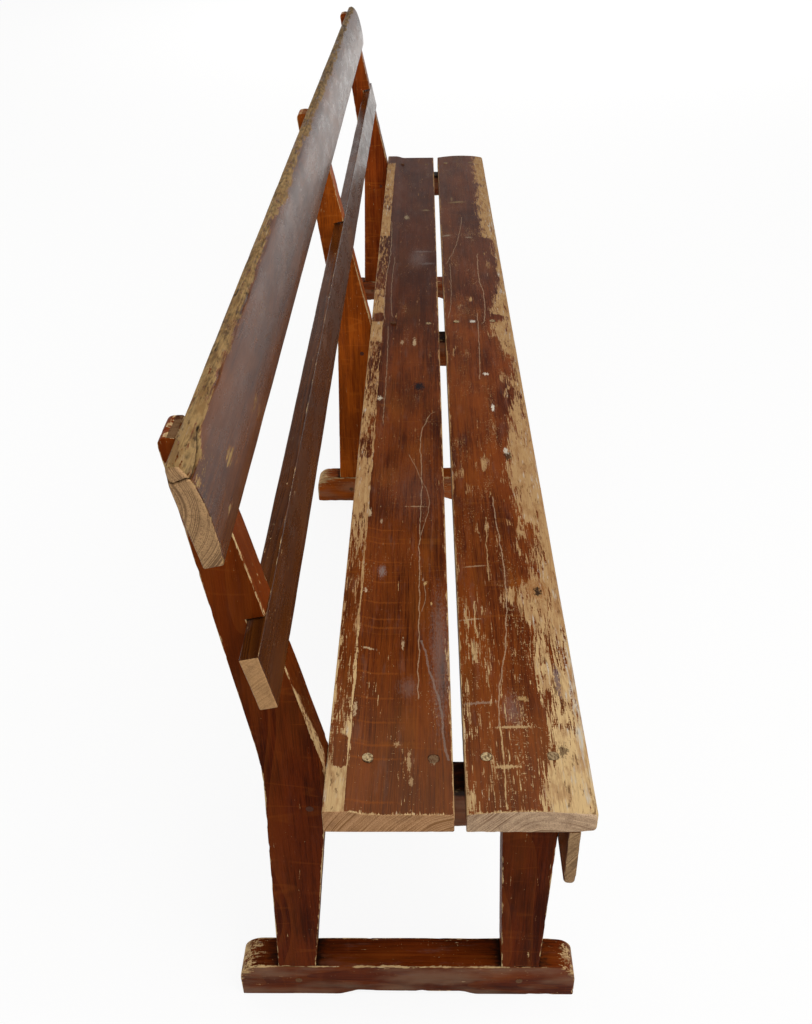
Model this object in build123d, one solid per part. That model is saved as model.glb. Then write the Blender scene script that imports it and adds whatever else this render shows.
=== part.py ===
from build123d import *
from math import cos, radians, sin, tan
import os

# A slatted bench: two seat planks, two back boards and an apron on a row of pegged trestle frames.
# +X runs along the bench, -Y is the sitter's side, +Z is up. The floor is Z = 0, and the origin
# lies under the middle of the feet. Sizes are in millimetres and degrees.

# Whole bench
bench_length = 2600.0         # every lengthwise board, end to end
seat_height = 442.0           # floor to the highest line of the seat planks
frame_names = ["left", "middle", "right"]   # as seen by someone who stands in front
frame_inset = 58.0            # board end to the outer face of an end frame
frame_thickness = 44.0        # stock of feet, legs, uprights and bearers, along X

# Sledge foot
foot_length = 447.0
foot_height = 64.0
foot_end_round = 27.0         # upper corners
foot_heel_round = 3.0         # lower corners
relief_length = 190.0         # shallow arch under the middle of the foot, at the floor
relief_slope_run = 27.0
relief_height = 7.5
relief_round = 40.0

# Dog-leg rear upright
upright_setback = 53.0        # rear end of the foot to the upright's rear edge
upright_foot_width = 50.0
upright_knee_width = 71.0     # at seat height
knee_forward = 34.5           # how far the front edge comes forward between foot and seat
back_rake = 12.0              # lean of the upright's front edge and of both boards
tongue_thickness = 19.0       # wood left behind the upper board at the very top
upright_top_round = 10.0
knee_round = 450.0            # soft bend of the rear edge

# Front leg
leg_setback = 49.5            # front end of the foot to the leg's front edge
leg_foot_width = 50.0
leg_top_width = 66.0

# Bearer under the planks
bearer_depth = 62.0

# Seat planks
plank_thickness = 34.0
rear_plank_width = 143.0
front_plank_width = 142.0
plank_gap = 12.5
dish_depth = 5.5              # how far the rear plank is hollowed in front of its raised rear band
raised_band_width = 28.0
dish_slope_run = 26.0
crown_rise = 5.5              # how far the front plank's middle stands above its edges
plank_edge_round = 4.0

# Back boards, let into notches of the uprights
lower_board_rise = 156.5      # knee to the lower board's bottom edge, along the rake
lower_board_height = 68.0
lower_board_thickness = 20.0
lower_board_round = 2.5
notch_gap = 3.0               # open joint above the lower board
board_spacing = 110.0         # lower board's top edge to upper board's bottom edge
upper_board_height = 109.5
upper_board_base = 20.0       # thickness at the bottom edge
upper_board_crown = 25.5      # thickness where the front swells most
crown_level = 46.0            # height of that swell above the bottom edge
upper_board_brow = 22.5       # thickness where the front starts to roll back
brow_drop = 19.5              # top edge to that place
upper_board_top = 14.0        # thickness of the rounded top
upper_notch_depth = 17.0
board_proud = 7.3             # how far the upper board stands above the uprights

# Apron under the front plank
apron_height = 90.0
apron_thickness = 13.5
apron_edge_round = 5.5
nose_overhang = 17.0          # front plank's nose to the apron's face

# Mortise and tenon joints, drawbored with pegs
tenon_thickness = 14.0
tenon_shoulder = 6.0
foot_tenon_length = 44.0
upright_tenon_length = 45.0   # bearer into upright
tenon_cover = 6.0             # wood between the leg's upper tenon and the seat screws' tips
joint_clearance = 0.2
peg_diameter = 9.0
foot_peg_drop = 31.0          # top of the foot down to the peg
bearer_peg_inset = 22.0       # shoulder of the bearer to the peg in the upright

# Screws and the putty over them
seat_screw_diameter = 5.0
seat_screw_head = 9.5
seat_screw_bite = 28.0        # length in the bearer
plug_diameter = 12.0
plug_depth = 4.0              # putty over the head where the planks are thinnest
rear_screw_from_back = 46.0
rear_screw_from_gap = 22.0
front_screw_from_gap = 25.0
front_screw_from_nose = 41.5
board_screw_diameter = 4.2
board_screw_head = 8.4
board_screw_bite = 14.0       # length in the back board
board_screw_inset = 17.0      # board edge to the screw, lower board
upper_screw_inset = 28.0      # board edge to the screw, upper board
board_screw_recess = 5.0      # head below the upright's rear edge
apron_screw_bite = 25.0       # length in the bearer's end
apron_screw_spacing = 24.0
apron_screw_recess = 0.5
hole_clearance = 0.15
screw_head_slope = 1.25       # head radius gained per millimetre of countersink
slot_width = 1.2
slot_depth = 1.0
screw_tip_length = 6.0
screw_tip_radius = 0.6

# Levels and lines that the pieces share
bearer_top = seat_height - plank_thickness
bearer_bottom = bearer_top - bearer_depth
heel_rear_y = foot_length / 2 - upright_setback
heel_front_y = heel_rear_y - upright_foot_width
knee_y = heel_front_y - knee_forward
knee_rear_y = knee_y + upright_knee_width
gap_rear_y = knee_y - rear_plank_width
gap_front_y = gap_rear_y - plank_gap
nose_y = gap_front_y - front_plank_width
apron_front_y = nose_y + nose_overhang
apron_back_y = apron_front_y + apron_thickness
leg_foot_front_y = -foot_length / 2 + leg_setback
leg_foot_rear_y = leg_foot_front_y + leg_foot_width
leg_top_rear_y = apron_back_y + leg_top_width
upper_board_rise = lower_board_rise + lower_board_height + board_spacing
rake = radians(back_rake)
upright_top_z = seat_height + (upper_board_rise + upper_board_height) * cos(rake) - board_proud
first_frame_x = -bench_length / 2 + frame_inset + frame_thickness / 2
frame_pitch = -2 * first_frame_x / (len(frame_names) - 1)
head_level = bearer_top + plank_thickness - max(dish_depth, crown_rise) - plug_depth


def on_rake(rise, forward):
    """Y and Z of a point `rise` up the raked front edge and `forward` of it, towards the sitter."""
    y = knee_y + rise * sin(rake) - forward * cos(rake)
    z = seat_height + rise * cos(rake) + forward * sin(rake)
    return y, z


def upright_front_y(z):
    """Front edge of the upright between foot and seat."""
    share = (z - foot_height) / (bearer_top - foot_height)
    return heel_front_y + share * (knee_y - heel_front_y)


def upright_top_front_y():
    """Front of the tongue behind the upper board, at the upright's top."""
    return knee_y + (upright_top_z - seat_height) * tan(rake) + upper_notch_depth / cos(rake)


def upright_rear_forward(rise):
    """Distance from the raked front edge to the rear edge, as a negative `forward`."""
    def local(y, z):
        along = (y - knee_y) * sin(rake) + (z - seat_height) * cos(rake)
        across = -(y - knee_y) * cos(rake) + (z - seat_height) * sin(rake)
        return along, across

    knee_along, knee_across = local(knee_rear_y, seat_height)
    top_along, top_across = local(upright_top_front_y() + tongue_thickness, upright_top_z)
    share = (rise - knee_along) / (top_along - knee_along)
    return knee_across + share * (top_across - knee_across)


def outline_face(points, rounds):
    """Closed outline in Y and Z, with one corner radius per point."""
    return make_face(FilletPolyline(*points, radius=rounds, close=True))


def along_x(face, centre_x, length):
    """Solid of a Y-Z outline that runs `length` along X, half each side of centre_x."""
    placed = Plane.YZ.offset(centre_x - length / 2) * face
    return extrude(placed, length, dir=(1, 0, 0))


def block(centre_x, thickness, y_low, y_high, z_low, z_high):
    centre = Location((centre_x, (y_low + y_high) / 2, (z_low + z_high) / 2))
    return centre * Box(thickness, y_high - y_low, z_high - z_low)


def rounded(radius, wall):
    """A corner radius that its wall can hold."""
    return min(radius, 0.45 * wall)


# Tenons, and the mortises that hold them with the joint clearance all round

def leg_foot_tenon(centre_x, slack=0.0):
    return block(
        centre_x, tenon_thickness + 2 * slack,
        leg_foot_front_y + tenon_shoulder - slack, leg_foot_rear_y - tenon_shoulder + slack,
        foot_height - foot_tenon_length - slack, foot_height,
    )


def upright_foot_tenon(centre_x, slack=0.0):
    return block(
        centre_x, tenon_thickness + 2 * slack,
        heel_front_y + tenon_shoulder - slack, heel_rear_y - tenon_shoulder + slack,
        foot_height - foot_tenon_length - slack, foot_height,
    )


def leg_top_tenon(centre_x, slack=0.0):
    shoulder = tenon_shoulder + (leg_top_width - leg_foot_width) / 4
    tip = bearer_top - seat_screw_bite - tenon_cover
    return block(
        centre_x, tenon_thickness + 2 * slack,
        apron_back_y + shoulder - slack, leg_top_rear_y - shoulder + slack,
        bearer_bottom, tip + slack,
    )


def bearer_tenon(centre_x, slack=0.0):
    return block(
        centre_x, tenon_thickness + 2 * slack,
        knee_y - tenon_shoulder, knee_y + upright_tenon_length + slack,
        bearer_bottom + tenon_shoulder - slack, bearer_top - tenon_shoulder + slack,
    )


def peg_places():
    """Y and Z of the four pegs of a frame."""
    foot_level = foot_height - foot_peg_drop
    leg_tip = bearer_top - seat_screw_bite - tenon_cover
    return [
        ((heel_front_y + heel_rear_y) / 2, foot_level),
        ((leg_foot_front_y + leg_foot_rear_y) / 2, foot_level),
        ((apron_back_y + leg_top_rear_y) / 2, (bearer_bottom + leg_tip) / 2),
        (knee_y + bearer_peg_inset, (bearer_bottom + bearer_top) / 2),
    ]


def pegs(centre_x, slack=0.0):
    """The pegs run through the whole frame thickness and end flush."""
    lying = Rotation(0, 90, 0) * Cylinder(peg_diameter / 2 + slack, frame_thickness)
    return [Location((centre_x, y, z)) * lying for y, z in peg_places()]


# Screws: the head's top is at the origin and the point looks down

def wood_screw(diameter, head_diameter, length, slack=0.0):
    shank = diameter / 2 + slack
    head = head_diameter / 2 + slack
    head_height = (head_diameter - diameter) / 2 / screw_head_slope
    straight = length - head_height - screw_tip_length
    grown = Align.CENTER, Align.CENTER, Align.MAX
    screw = Cone(shank, head, head_height, align=grown)
    screw += Pos(0, 0, -head_height) * Cylinder(shank, straight, align=grown)
    screw += Pos(0, 0, -head_height - straight) * Cone(
        screw_tip_radius + slack, shank, screw_tip_length, align=grown)
    if slack == 0.0:
        screw -= Box(head_diameter, slot_width, 2 * slot_depth)
    return screw


def seat_screw_places():
    """Y of the four screws of a frame: two in the rear plank, then two in the front plank."""
    return [
        knee_y - rear_screw_from_back,
        gap_rear_y + rear_screw_from_gap,
        gap_front_y - front_screw_from_gap,
        nose_y + front_screw_from_nose,
    ]


def seat_screws(centre_x, slack=0.0):
    length = head_level - bearer_top + seat_screw_bite
    screw = wood_screw(seat_screw_diameter, seat_screw_head, length, slack)
    return [Location((centre_x, y, head_level)) * screw for y in seat_screw_places()]


def plug_bores(centre_x, slack=0.0):
    """Cylinders from the screw heads up through the planks' top."""
    height = seat_height - head_level + plug_depth
    plug = Cylinder(plug_diameter / 2 + slack, height, align=(Align.CENTER, Align.CENTER, Align.MIN))
    return [Location((centre_x, y, head_level)) * plug for y in seat_screw_places()]


def board_screw_places():
    """Rise of each screw along the rake, with the depth of the notch that its board lies in."""
    upper_top = upper_board_rise + upper_board_height
    return [
        (lower_board_rise + board_screw_inset, lower_board_thickness),
        (lower_board_rise + lower_board_height - board_screw_inset, lower_board_thickness),
        (upper_board_rise + upper_screw_inset, upper_notch_depth),
        (upper_top - upper_screw_inset, upper_notch_depth),
    ]


def rear_facing(centre_x, rise, forward):
    """Plane square to the boards whose normal looks out of the bench's back."""
    y, z = on_rake(rise, forward)
    return Plane(origin=(centre_x, y, z), x_dir=(1, 0, 0), z_dir=(0, cos(rake), -sin(rake)))


def board_screws(centre_x, slack=0.0):
    screws = []
    for rise, notch_depth in board_screw_places():
        head_forward = upright_rear_forward(rise) + board_screw_recess
        length = -head_forward - notch_depth + board_screw_bite
        screw = wood_screw(board_screw_diameter, board_screw_head, length, slack)
        screws.append(rear_facing(centre_x, rise, head_forward) * screw)
    return screws


def counterbores(centre_x):
    """Round recesses in the upright's rear edge that take the board screws' heads."""
    bores = []
    for rise, notch_depth in board_screw_places():
        head_forward = upright_rear_forward(rise) + board_screw_recess
        bore = Cylinder(
            board_screw_head / 2 + hole_clearance, 3 * board_screw_recess,
            align=(Align.CENTER, Align.CENTER, Align.MIN))
        bores.append(rear_facing(centre_x, rise, head_forward) * bore)
    return bores


def apron_screws(centre_x, slack=0.0):
    length = apron_thickness - apron_screw_recess + apron_screw_bite
    screw = wood_screw(board_screw_diameter, board_screw_head, length, slack)
    z = (bearer_bottom + bearer_top) / 2
    screws = []
    for side in (-1, 1):
        x = centre_x + side * apron_screw_spacing / 2
        face = Plane(
            origin=(x, apron_front_y + apron_screw_recess, z), x_dir=(1, 0, 0), z_dir=(0, -1, 0))
        screws.append(face * screw)
    return screws


def cut(solid, tools):
    for tool in tools:
        solid -= tool
    return solid


# The four pieces of a trestle frame

def foot(centre_x):
    half = foot_length / 2
    relief = relief_length / 2
    points = [
        (-half, 0), (-relief, 0), (-relief + relief_slope_run, relief_height),
        (relief - relief_slope_run, relief_height), (relief, 0), (half, 0),
        (half, foot_height), (-half, foot_height),
    ]
    heel = foot_heel_round
    end = rounded(foot_end_round, foot_height)
    bend = relief_round
    rounds = [heel, bend, bend, bend, bend, heel, end, end]
    solid = along_x(outline_face(points, rounds), centre_x, frame_thickness)
    mortises = [leg_foot_tenon(centre_x, joint_clearance), upright_foot_tenon(centre_x, joint_clearance)]
    return cut(solid, mortises + pegs(centre_x, hole_clearance))


def front_leg(centre_x):
    points = [
        (leg_foot_front_y, foot_height), (leg_foot_rear_y, foot_height),
        (leg_top_rear_y, bearer_bottom), (apron_back_y, bearer_bottom),
    ]
    solid = along_x(outline_face(points, [0] * len(points)), centre_x, frame_thickness)
    solid += leg_foot_tenon(centre_x)
    solid += leg_top_tenon(centre_x)
    return cut(solid, pegs(centre_x, hole_clearance))


def bearer(centre_x):
    points = [
        (apron_back_y, bearer_bottom), (upright_front_y(bearer_bottom), bearer_bottom),
        (knee_y, bearer_top), (apron_back_y, bearer_top),
    ]
    solid = along_x(outline_face(points, [0] * len(points)), centre_x, frame_thickness)
    solid += bearer_tenon(centre_x)
    solid -= leg_top_tenon(centre_x, joint_clearance)
    holes = pegs(centre_x, hole_clearance)
    holes += seat_screws(centre_x, hole_clearance)
    holes += apron_screws(centre_x, hole_clearance)
    return cut(solid, holes)


def rear_upright(centre_x):
    notch_top = lower_board_rise + lower_board_height + notch_gap
    points = [
        (heel_front_y, foot_height),
        (knee_y, bearer_top),
        (knee_y, seat_height),
        on_rake(lower_board_rise, 0),
        on_rake(lower_board_rise, -lower_board_thickness),
        on_rake(notch_top, -lower_board_thickness),
        on_rake(notch_top, 0),
        on_rake(upper_board_rise, 0),
        on_rake(upper_board_rise, -upper_notch_depth),
        (upright_top_front_y(), upright_top_z),
        (upright_top_front_y() + tongue_thickness, upright_top_z),
        (knee_rear_y, seat_height),
        (heel_rear_y, foot_height),
    ]
    rounds = [0] * len(points)
    rounds[10] = rounded(upright_top_round, tongue_thickness)
    rounds[11] = knee_round
    solid = along_x(outline_face(points, rounds), centre_x, frame_thickness)
    solid += upright_foot_tenon(centre_x)
    solid -= bearer_tenon(centre_x, joint_clearance)
    holes = pegs(centre_x, hole_clearance)
    holes += board_screws(centre_x, hole_clearance)
    holes += counterbores(centre_x)
    return cut(solid, holes)


# The five lengthwise boards, before their screw holes

def rear_plank_blank():
    """Flat underside, a raised band along the rear edge and a shallow dish in front of it."""
    dish_top = seat_height - dish_depth
    points = [
        (knee_y, bearer_top), (knee_y, seat_height), (knee_y - raised_band_width, seat_height),
        (knee_y - raised_band_width - dish_slope_run, dish_top),
        (gap_rear_y, dish_top), (gap_rear_y, bearer_top),
    ]
    edge = rounded(plank_edge_round, plank_thickness - dish_depth)
    bend = dish_slope_run
    return along_x(outline_face(points, [edge / 2, edge / 2, bend, bend, edge / 2, edge]), 0, bench_length)


def front_plank_blank():
    """Flat underside and a crowned top with softly rounded edges."""
    edge_top = seat_height - crown_rise
    crown = ThreePointArc(
        (nose_y, edge_top), ((nose_y + gap_front_y) / 2, seat_height), (gap_front_y, edge_top))
    sides = Polyline((gap_front_y, edge_top), (gap_front_y, bearer_top), (nose_y, bearer_top),
                     (nose_y, edge_top))
    face = make_face(crown + sides)
    edge = rounded(plank_edge_round, plank_thickness - crown_rise)
    return along_x(fillet(face.vertices(), edge), 0, bench_length)


def lower_board_blank():
    base = lower_board_rise
    top = lower_board_rise + lower_board_height
    back = -lower_board_thickness
    points = [on_rake(base, back), on_rake(base, 0), on_rake(top, 0), on_rake(top, back)]
    edge = rounded(lower_board_round, lower_board_thickness)
    return along_x(outline_face(points, [edge] * len(points)), 0, bench_length)


def upper_board_blank():
    """A board whose front swells, rolls back near the top and ends in a rounded edge."""
    base = upper_board_rise
    top = upper_board_rise + upper_board_height
    back = -upper_notch_depth
    points = [
        on_rake(base, back),
        on_rake(base, back + upper_board_base),
        on_rake(base + crown_level, back + upper_board_crown),
        on_rake(top - brow_drop, back + upper_board_brow),
        on_rake(top, back + upper_board_top),
        on_rake(top, back),
    ]
    rounds = [
        rounded(3.0, upper_board_base), rounded(5.0, upper_board_base), 4 * crown_level,
        2 * brow_drop, 0.55 * upper_board_top, 0.35 * upper_board_top,
    ]
    return along_x(outline_face(points, rounds), 0, bench_length)


def apron_blank():
    bottom = bearer_top - apron_height
    points = [
        (apron_front_y, bottom), (apron_back_y, bottom),
        (apron_back_y, bearer_top), (apron_front_y, bearer_top),
    ]
    edge = rounded(apron_edge_round, apron_thickness)
    return along_x(outline_face(points, [edge, edge, 0, 0]), 0, bench_length)


pieces = {}
planks = {"seat_plank_rear": rear_plank_blank(), "seat_plank_front": front_plank_blank()}
boards = {"back_board_lower": lower_board_blank(), "back_board_upper": upper_board_blank()}
apron = apron_blank()

for index, name in enumerate(frame_names):
    x = first_frame_x + index * frame_pitch
    pieces["foot_" + name] = foot(x)
    pieces["front_leg_" + name] = front_leg(x)
    pieces["rear_upright_" + name] = rear_upright(x)
    pieces["bearer_" + name] = bearer(x)
    pieces["tenon_pegs_" + name] = Compound(children=pegs(x))
    pieces["seat_screws_" + name] = Compound(children=seat_screws(x))
    pieces["board_screws_" + name] = Compound(children=board_screws(x))
    pieces["apron_screws_" + name] = Compound(children=apron_screws(x))
    rear_blank = planks["seat_plank_rear"]
    front_blank = planks["seat_plank_front"]
    rear_plugs = [bore & rear_blank for bore in plug_bores(x)[:2]]
    front_plugs = [bore & front_blank for bore in plug_bores(x)[2:]]
    pieces["screw_plugs_" + name] = Compound(children=rear_plugs + front_plugs)
    drilled = seat_screws(x, hole_clearance) + plug_bores(x, hole_clearance)
    planks = {plank: cut(blank, drilled) for plank, blank in planks.items()}
    boards = {board: cut(blank, board_screws(x, hole_clearance)) for board, blank in boards.items()}
    apron = cut(apron, apron_screws(x, hole_clearance))

pieces.update(planks)
pieces.update(boards)
pieces["apron"] = apron

os.makedirs("parts", exist_ok=True)
for node, shape in pieces.items():
    export_step(shape, f"parts/{node}.step")
    print(node)
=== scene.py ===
import math

import bpy
import numpy as np
from mathutils import Matrix, Vector


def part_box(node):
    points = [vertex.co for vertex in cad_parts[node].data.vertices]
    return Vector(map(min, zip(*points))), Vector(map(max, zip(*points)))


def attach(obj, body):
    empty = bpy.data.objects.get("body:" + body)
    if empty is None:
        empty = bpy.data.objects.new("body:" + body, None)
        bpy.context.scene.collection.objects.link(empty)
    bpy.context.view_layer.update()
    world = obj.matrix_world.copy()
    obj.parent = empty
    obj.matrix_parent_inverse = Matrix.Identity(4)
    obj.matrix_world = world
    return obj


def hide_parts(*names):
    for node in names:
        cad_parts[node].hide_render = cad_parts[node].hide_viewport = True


# A long slatted bench of mahogany-stained pine, worn along every edge that hands, legs and shoes rub.
# Sizes in the dictionaries are in millimetres in the bench's own frame: +X along the bench, -Y the
# sitter's side, +Z up. Meshes are shaped in millimetres and stored in metres.

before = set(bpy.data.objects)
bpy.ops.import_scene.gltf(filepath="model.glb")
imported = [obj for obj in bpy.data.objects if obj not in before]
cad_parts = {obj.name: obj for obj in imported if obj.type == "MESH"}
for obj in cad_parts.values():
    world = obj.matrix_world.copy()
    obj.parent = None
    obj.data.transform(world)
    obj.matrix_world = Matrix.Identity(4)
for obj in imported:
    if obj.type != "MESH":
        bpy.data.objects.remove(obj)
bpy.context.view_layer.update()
frameNames = ["left", "middle", "right"]
print("stage: frame loaded,", len(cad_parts), "nodes")


def boxOf(node):
    low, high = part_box(node)
    return np.array(low) * 1000, np.array(high) * 1000


cameraLook = {
    "place": (-2.027, -0.027, 1.317),   # metres
    "pitch": 33.93,                     # degrees below the horizon
    "yaw": 1.32,                        # degrees to the left of the bench's length
    "roll": -0.99,
    "focal": 1022.6,                    # in pixels of an image 1024 high
    "imageHeight": 1024,
    "sensor": 36.0,
}


def makeCamera(look):
    pitch, yaw, roll = (math.radians(look[key]) for key in ("pitch", "yaw", "roll"))
    forward = Vector((math.cos(pitch) * math.cos(yaw), math.cos(pitch) * math.sin(yaw), -math.sin(pitch)))
    right = Vector((math.sin(yaw), -math.cos(yaw), 0))
    above = right.cross(forward)
    turnedRight = right * math.cos(roll) + above * math.sin(roll)
    turnedUp = above * math.cos(roll) - right * math.sin(roll)
    data = bpy.data.cameras.new("camera")
    data.sensor_width = look["sensor"]
    data.lens = look["focal"] * look["sensor"] / look["imageHeight"]
    data.clip_start = 0.01
    camera = bpy.data.objects.new("camera", data)
    bpy.context.scene.collection.objects.link(camera)
    turn = Matrix((turnedRight, turnedUp, -forward)).transposed()
    camera.matrix_world = Matrix.Translation(look["place"]) @ turn.to_4x4()
    bpy.context.scene.camera = camera


lampLook = {
    "worldLight": 0.5,       # strength that lights the wood; the background itself shows as white
    "mirrored": [(0.1, 0.85), (0.26, 0.45), (0.4, 0.01)],   # what the varnish mirrors: height of the ray, strength
    "lamps": [               # name, place, aims at, size in metres, watts
        ("keyLamp", (-1.8, -1.4, 3.2), (0.0, 0.0, 0.4), 2.4, 70.0),
        ("fillLamp", (0.2, 2.6, 2.8), (0.0, 0.1, 0.5), 2.6, 22.0),
        ("farLamp", (3.0, -0.6, 2.8), (0.3, 0.0, 0.4), 2.2, 9.0),
        ("floorLamp", (7.4, -1.0, 2.6), (7.4, -1.0, 0.0), 5.0, 172.0),    # the boards' fronts mirror this floor
    ],
    "floorSize": 30.0,
    "floorColour": "#f4f3f1",
    "floorShine": 0.9,       # share of the floor that shows as plain white to the camera
}


def linear(hexColour):
    parts = [int(hexColour[i:i + 2], 16) / 255 for i in (1, 3, 5)]
    return tuple(c / 12.92 if c <= 0.04045 else ((c + 0.055) / 1.055) ** 2.4 for c in parts) + (1.0,)


def addNode(tree, kind, inputs=None, **settings):
    # one node with its settings; an input is a value, a socket or a node whose first output is meant
    node = tree.nodes.new(kind)
    for key, value in settings.items():
        setattr(node, key, value)
    for key, value in (inputs or {}).items():
        source = value.outputs[0] if isinstance(value, bpy.types.Node) else value
        if isinstance(source, bpy.types.NodeSocket):
            tree.links.new(source, node.inputs[key])
        else:
            node.inputs[key].default_value = source
    return node


def makeWorld(look):
    world = bpy.data.worlds.new("studioWorld")
    world.use_nodes = True
    tree = world.node_tree
    tree.nodes.clear()
    path = addNode(tree, "ShaderNodeLightPath")
    seen = addNode(tree, "ShaderNodeMath", {0: path.outputs["Is Camera Ray"], 1: path.outputs["Is Transmission Ray"]},
                   operation="MAXIMUM")
    way = addNode(tree, "ShaderNodeTexCoord").outputs["Generated"]
    height = addNode(tree, "ShaderNodeSeparateXYZ", {0: way}).outputs["Z"]
    (lowest, bright), (middle, half), (highest, dim) = look["mirrored"]
    wall = addNode(tree, "ShaderNodeMapRange", {0: height, 1: lowest, 2: middle, 3: bright - half, 4: 0.0})
    ceiling = addNode(tree, "ShaderNodeMapRange", {0: height, 1: middle, 2: highest, 3: half, 4: dim})
    mirrored = addNode(tree, "ShaderNodeMath", {0: wall, 1: ceiling}, operation="ADD")
    light = addNode(tree, "ShaderNodeMix", {0: path.outputs["Is Glossy Ray"], 2: look["worldLight"], 3: mirrored})
    strength = addNode(tree, "ShaderNodeMix", {0: seen, 2: light, 3: 1.0})
    back = addNode(tree, "ShaderNodeBackground", {"Color": (1, 1, 1, 1), "Strength": strength})
    addNode(tree, "ShaderNodeOutputWorld", {"Surface": back})
    bpy.context.scene.world = world
    bpy.context.scene.view_settings.view_transform = "Standard"


def makeLamps(look):
    for name, place, target, size, power in look["lamps"]:
        data = bpy.data.lights.new(name, "AREA")
        data.size = size
        data.energy = power
        lamp = bpy.data.objects.new(name, data)
        lamp.location = place
        lamp.rotation_euler = (Vector(target) - Vector(place)).to_track_quat("-Z", "Y").to_euler()
        lamp.visible_glossy = False      # the varnish mirrors the studio, not the lamps
        bpy.context.scene.collection.objects.link(lamp)


def makeFloor(look):
    half = look["floorSize"] / 2
    mesh = bpy.data.meshes.new("studioFloor")
    mesh.from_pydata([(-half, -half, 0), (half, -half, 0), (half, half, 0), (-half, half, 0)], [], [(0, 1, 2, 3)])
    floor = bpy.data.objects.new("studioFloor", mesh)
    bpy.context.scene.collection.objects.link(floor)
    paint = bpy.data.materials.new("paintedStudioFloor")   # matt white floor that fades into the background
    paint.use_nodes = True
    tree = paint.node_tree
    tree.nodes.clear()
    matt = addNode(tree, "ShaderNodeBsdfDiffuse", {"Color": linear(look["floorColour"])})
    white = addNode(tree, "ShaderNodeEmission", {"Color": (1, 1, 1, 1), "Strength": 1.0})
    path = addNode(tree, "ShaderNodeLightPath")
    share = addNode(tree, "ShaderNodeMath", {0: path.outputs["Is Camera Ray"], 1: look["floorShine"]},
                    operation="MULTIPLY")
    mixed = addNode(tree, "ShaderNodeMixShader", {0: share, 1: matt, 2: white})
    addNode(tree, "ShaderNodeOutputMaterial", {"Surface": mixed})
    mesh.materials.append(paint)


makeCamera(cameraLook)
makeWorld(lampLook)
makeLamps(lampLook)
makeFloor(lampLook)
print("stage: camera, lamps and floor")


def valueNoise(points, scale, seed):
    # smooth noise from -1 to 1; scale is the size of a cell in millimetres, one value or three
    rng = np.random.default_rng(seed)
    order = rng.permutation(256)
    heights = rng.uniform(-1, 1, 256)
    cell = points / np.asarray(scale, dtype=float)
    base = np.floor(cell).astype(int)
    part = cell - base
    part = part * part * (3 - 2 * part)
    total = np.zeros(len(points))
    for corner in range(8):
        step = np.array([corner & 1, corner >> 1 & 1, corner >> 2 & 1])
        at = base + step
        key = order[(order[(order[at[:, 0] & 255] + at[:, 1]) & 255] + at[:, 2]) & 255]
        weight = np.prod(np.where(step, part, 1 - part), axis=1)
        total += heights[key] * weight
    return total


def ease(value, low, high):
    # 0 below low, 1 above high, smooth between
    share = np.clip((value - low) / (high - low), 0, 1)
    return share * share * (3 - 2 * share)


edgeLines = (0, 0.4, 0.9, 1.6, 2.6, 4.0, 6.0)   # lattice lines near an arris, in millimetres from it


def steps(length, middle, extra=()):
    # lattice lines along one side: evenly spaced, closer at both ends, and with the extra ones
    reach = edgeLines[-1]
    count = max(1, round((length - 2 * reach) / middle))
    places = list(edgeLines) + list(np.linspace(reach, length - reach, count + 1)[1:-1])
    places += [length - line for line in edgeLines]
    extra = sorted(extra)
    if extra:
        gaps = np.abs(np.subtract.outer(places, extra)).min(axis=1)
        places = [place for place, gap in zip(places, gaps) if gap > 0.45 * middle or place in (0, length)]
    return np.unique(np.round(places + extra, 3))


def holeLines(centre, radius):
    # lattice lines that a round hole needs
    offsets = [0, 0.45 * radius, 0.8 * radius, radius - 0.06, radius + 0.06, radius + 1.4, radius + 3]
    return [centre + side * offset for offset in offsets for side in (-1, 1)]


def latticeSurface(us, vs, ws):
    # points of the outer faces of a block of cells, their quads, and which quads lie on the two u ends
    count = len(us), len(vs), len(ws)
    outer = np.ones(count, dtype=bool)
    outer[1:-1, 1:-1, 1:-1] = False
    ids = np.full(count, -1)
    ids[outer] = np.arange(np.count_nonzero(outer))
    i, j, k = np.nonzero(outer)
    points = np.stack([us[i], vs[j], ws[k]], axis=1)
    quads = []
    ends = []
    for side in range(3):
        faces = np.moveaxis(ids, side, 0)
        for last in (0, 1):
            sheet = faces[-1 if last else 0]
            a, b, c, d = sheet[:-1, :-1], sheet[:-1, 1:], sheet[1:, 1:], sheet[1:, :-1]
            loop = [a, b, c, d] if (side == 1) == bool(last) else [a, d, c, b]
            quad = np.stack([part.ravel() for part in loop], axis=1)
            quads.append(quad)
            ends.append(np.full(len(quad), side == 0))
    return points, np.concatenate(quads), np.concatenate(ends)


def roundedBlock(points, size, radius, dent):
    # rounds the arrises of a block by a radius per point and sinks the surface by a dent per point
    radius = radius[:, None]
    core = np.clip(points, radius, size - radius)
    away = points - core
    length = np.linalg.norm(away, axis=1, keepdims=True)
    length[length == 0] = 1
    return core + away / length * (radius - dent[:, None])


def arrisDistance(points, size):
    # distance of each surface point to the nearest arris of the block
    gaps = np.concatenate([points, size - points], axis=1)
    return np.sort(gaps, axis=1)[:, 1]


def sinkHoles(points, onFace, sides, centres, radius, depth):
    # turns square rings of lattice points into round holes; sides are the face's two axes and the inward one
    first, second, inward = sides
    reach = radius + 3
    for centre in centres:
        off = points[:, [first, second]] - np.asarray(centre)
        ring = np.abs(off).max(axis=1)
        near = onFace & (ring < reach) & (ring > 0)
        rounded = ring / np.maximum(np.linalg.norm(off, axis=1), 1e-6)
        share = np.clip((ring - radius) / (reach - radius), 0, 1)
        factor = (rounded * (1 - share) + share)[:, None]
        points[:, [first, second]] = np.where(near[:, None], off * factor + centre, points[:, [first, second]])
        points[:, inward] -= np.where(onFace & (ring < radius), depth, 0)
    return points


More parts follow.
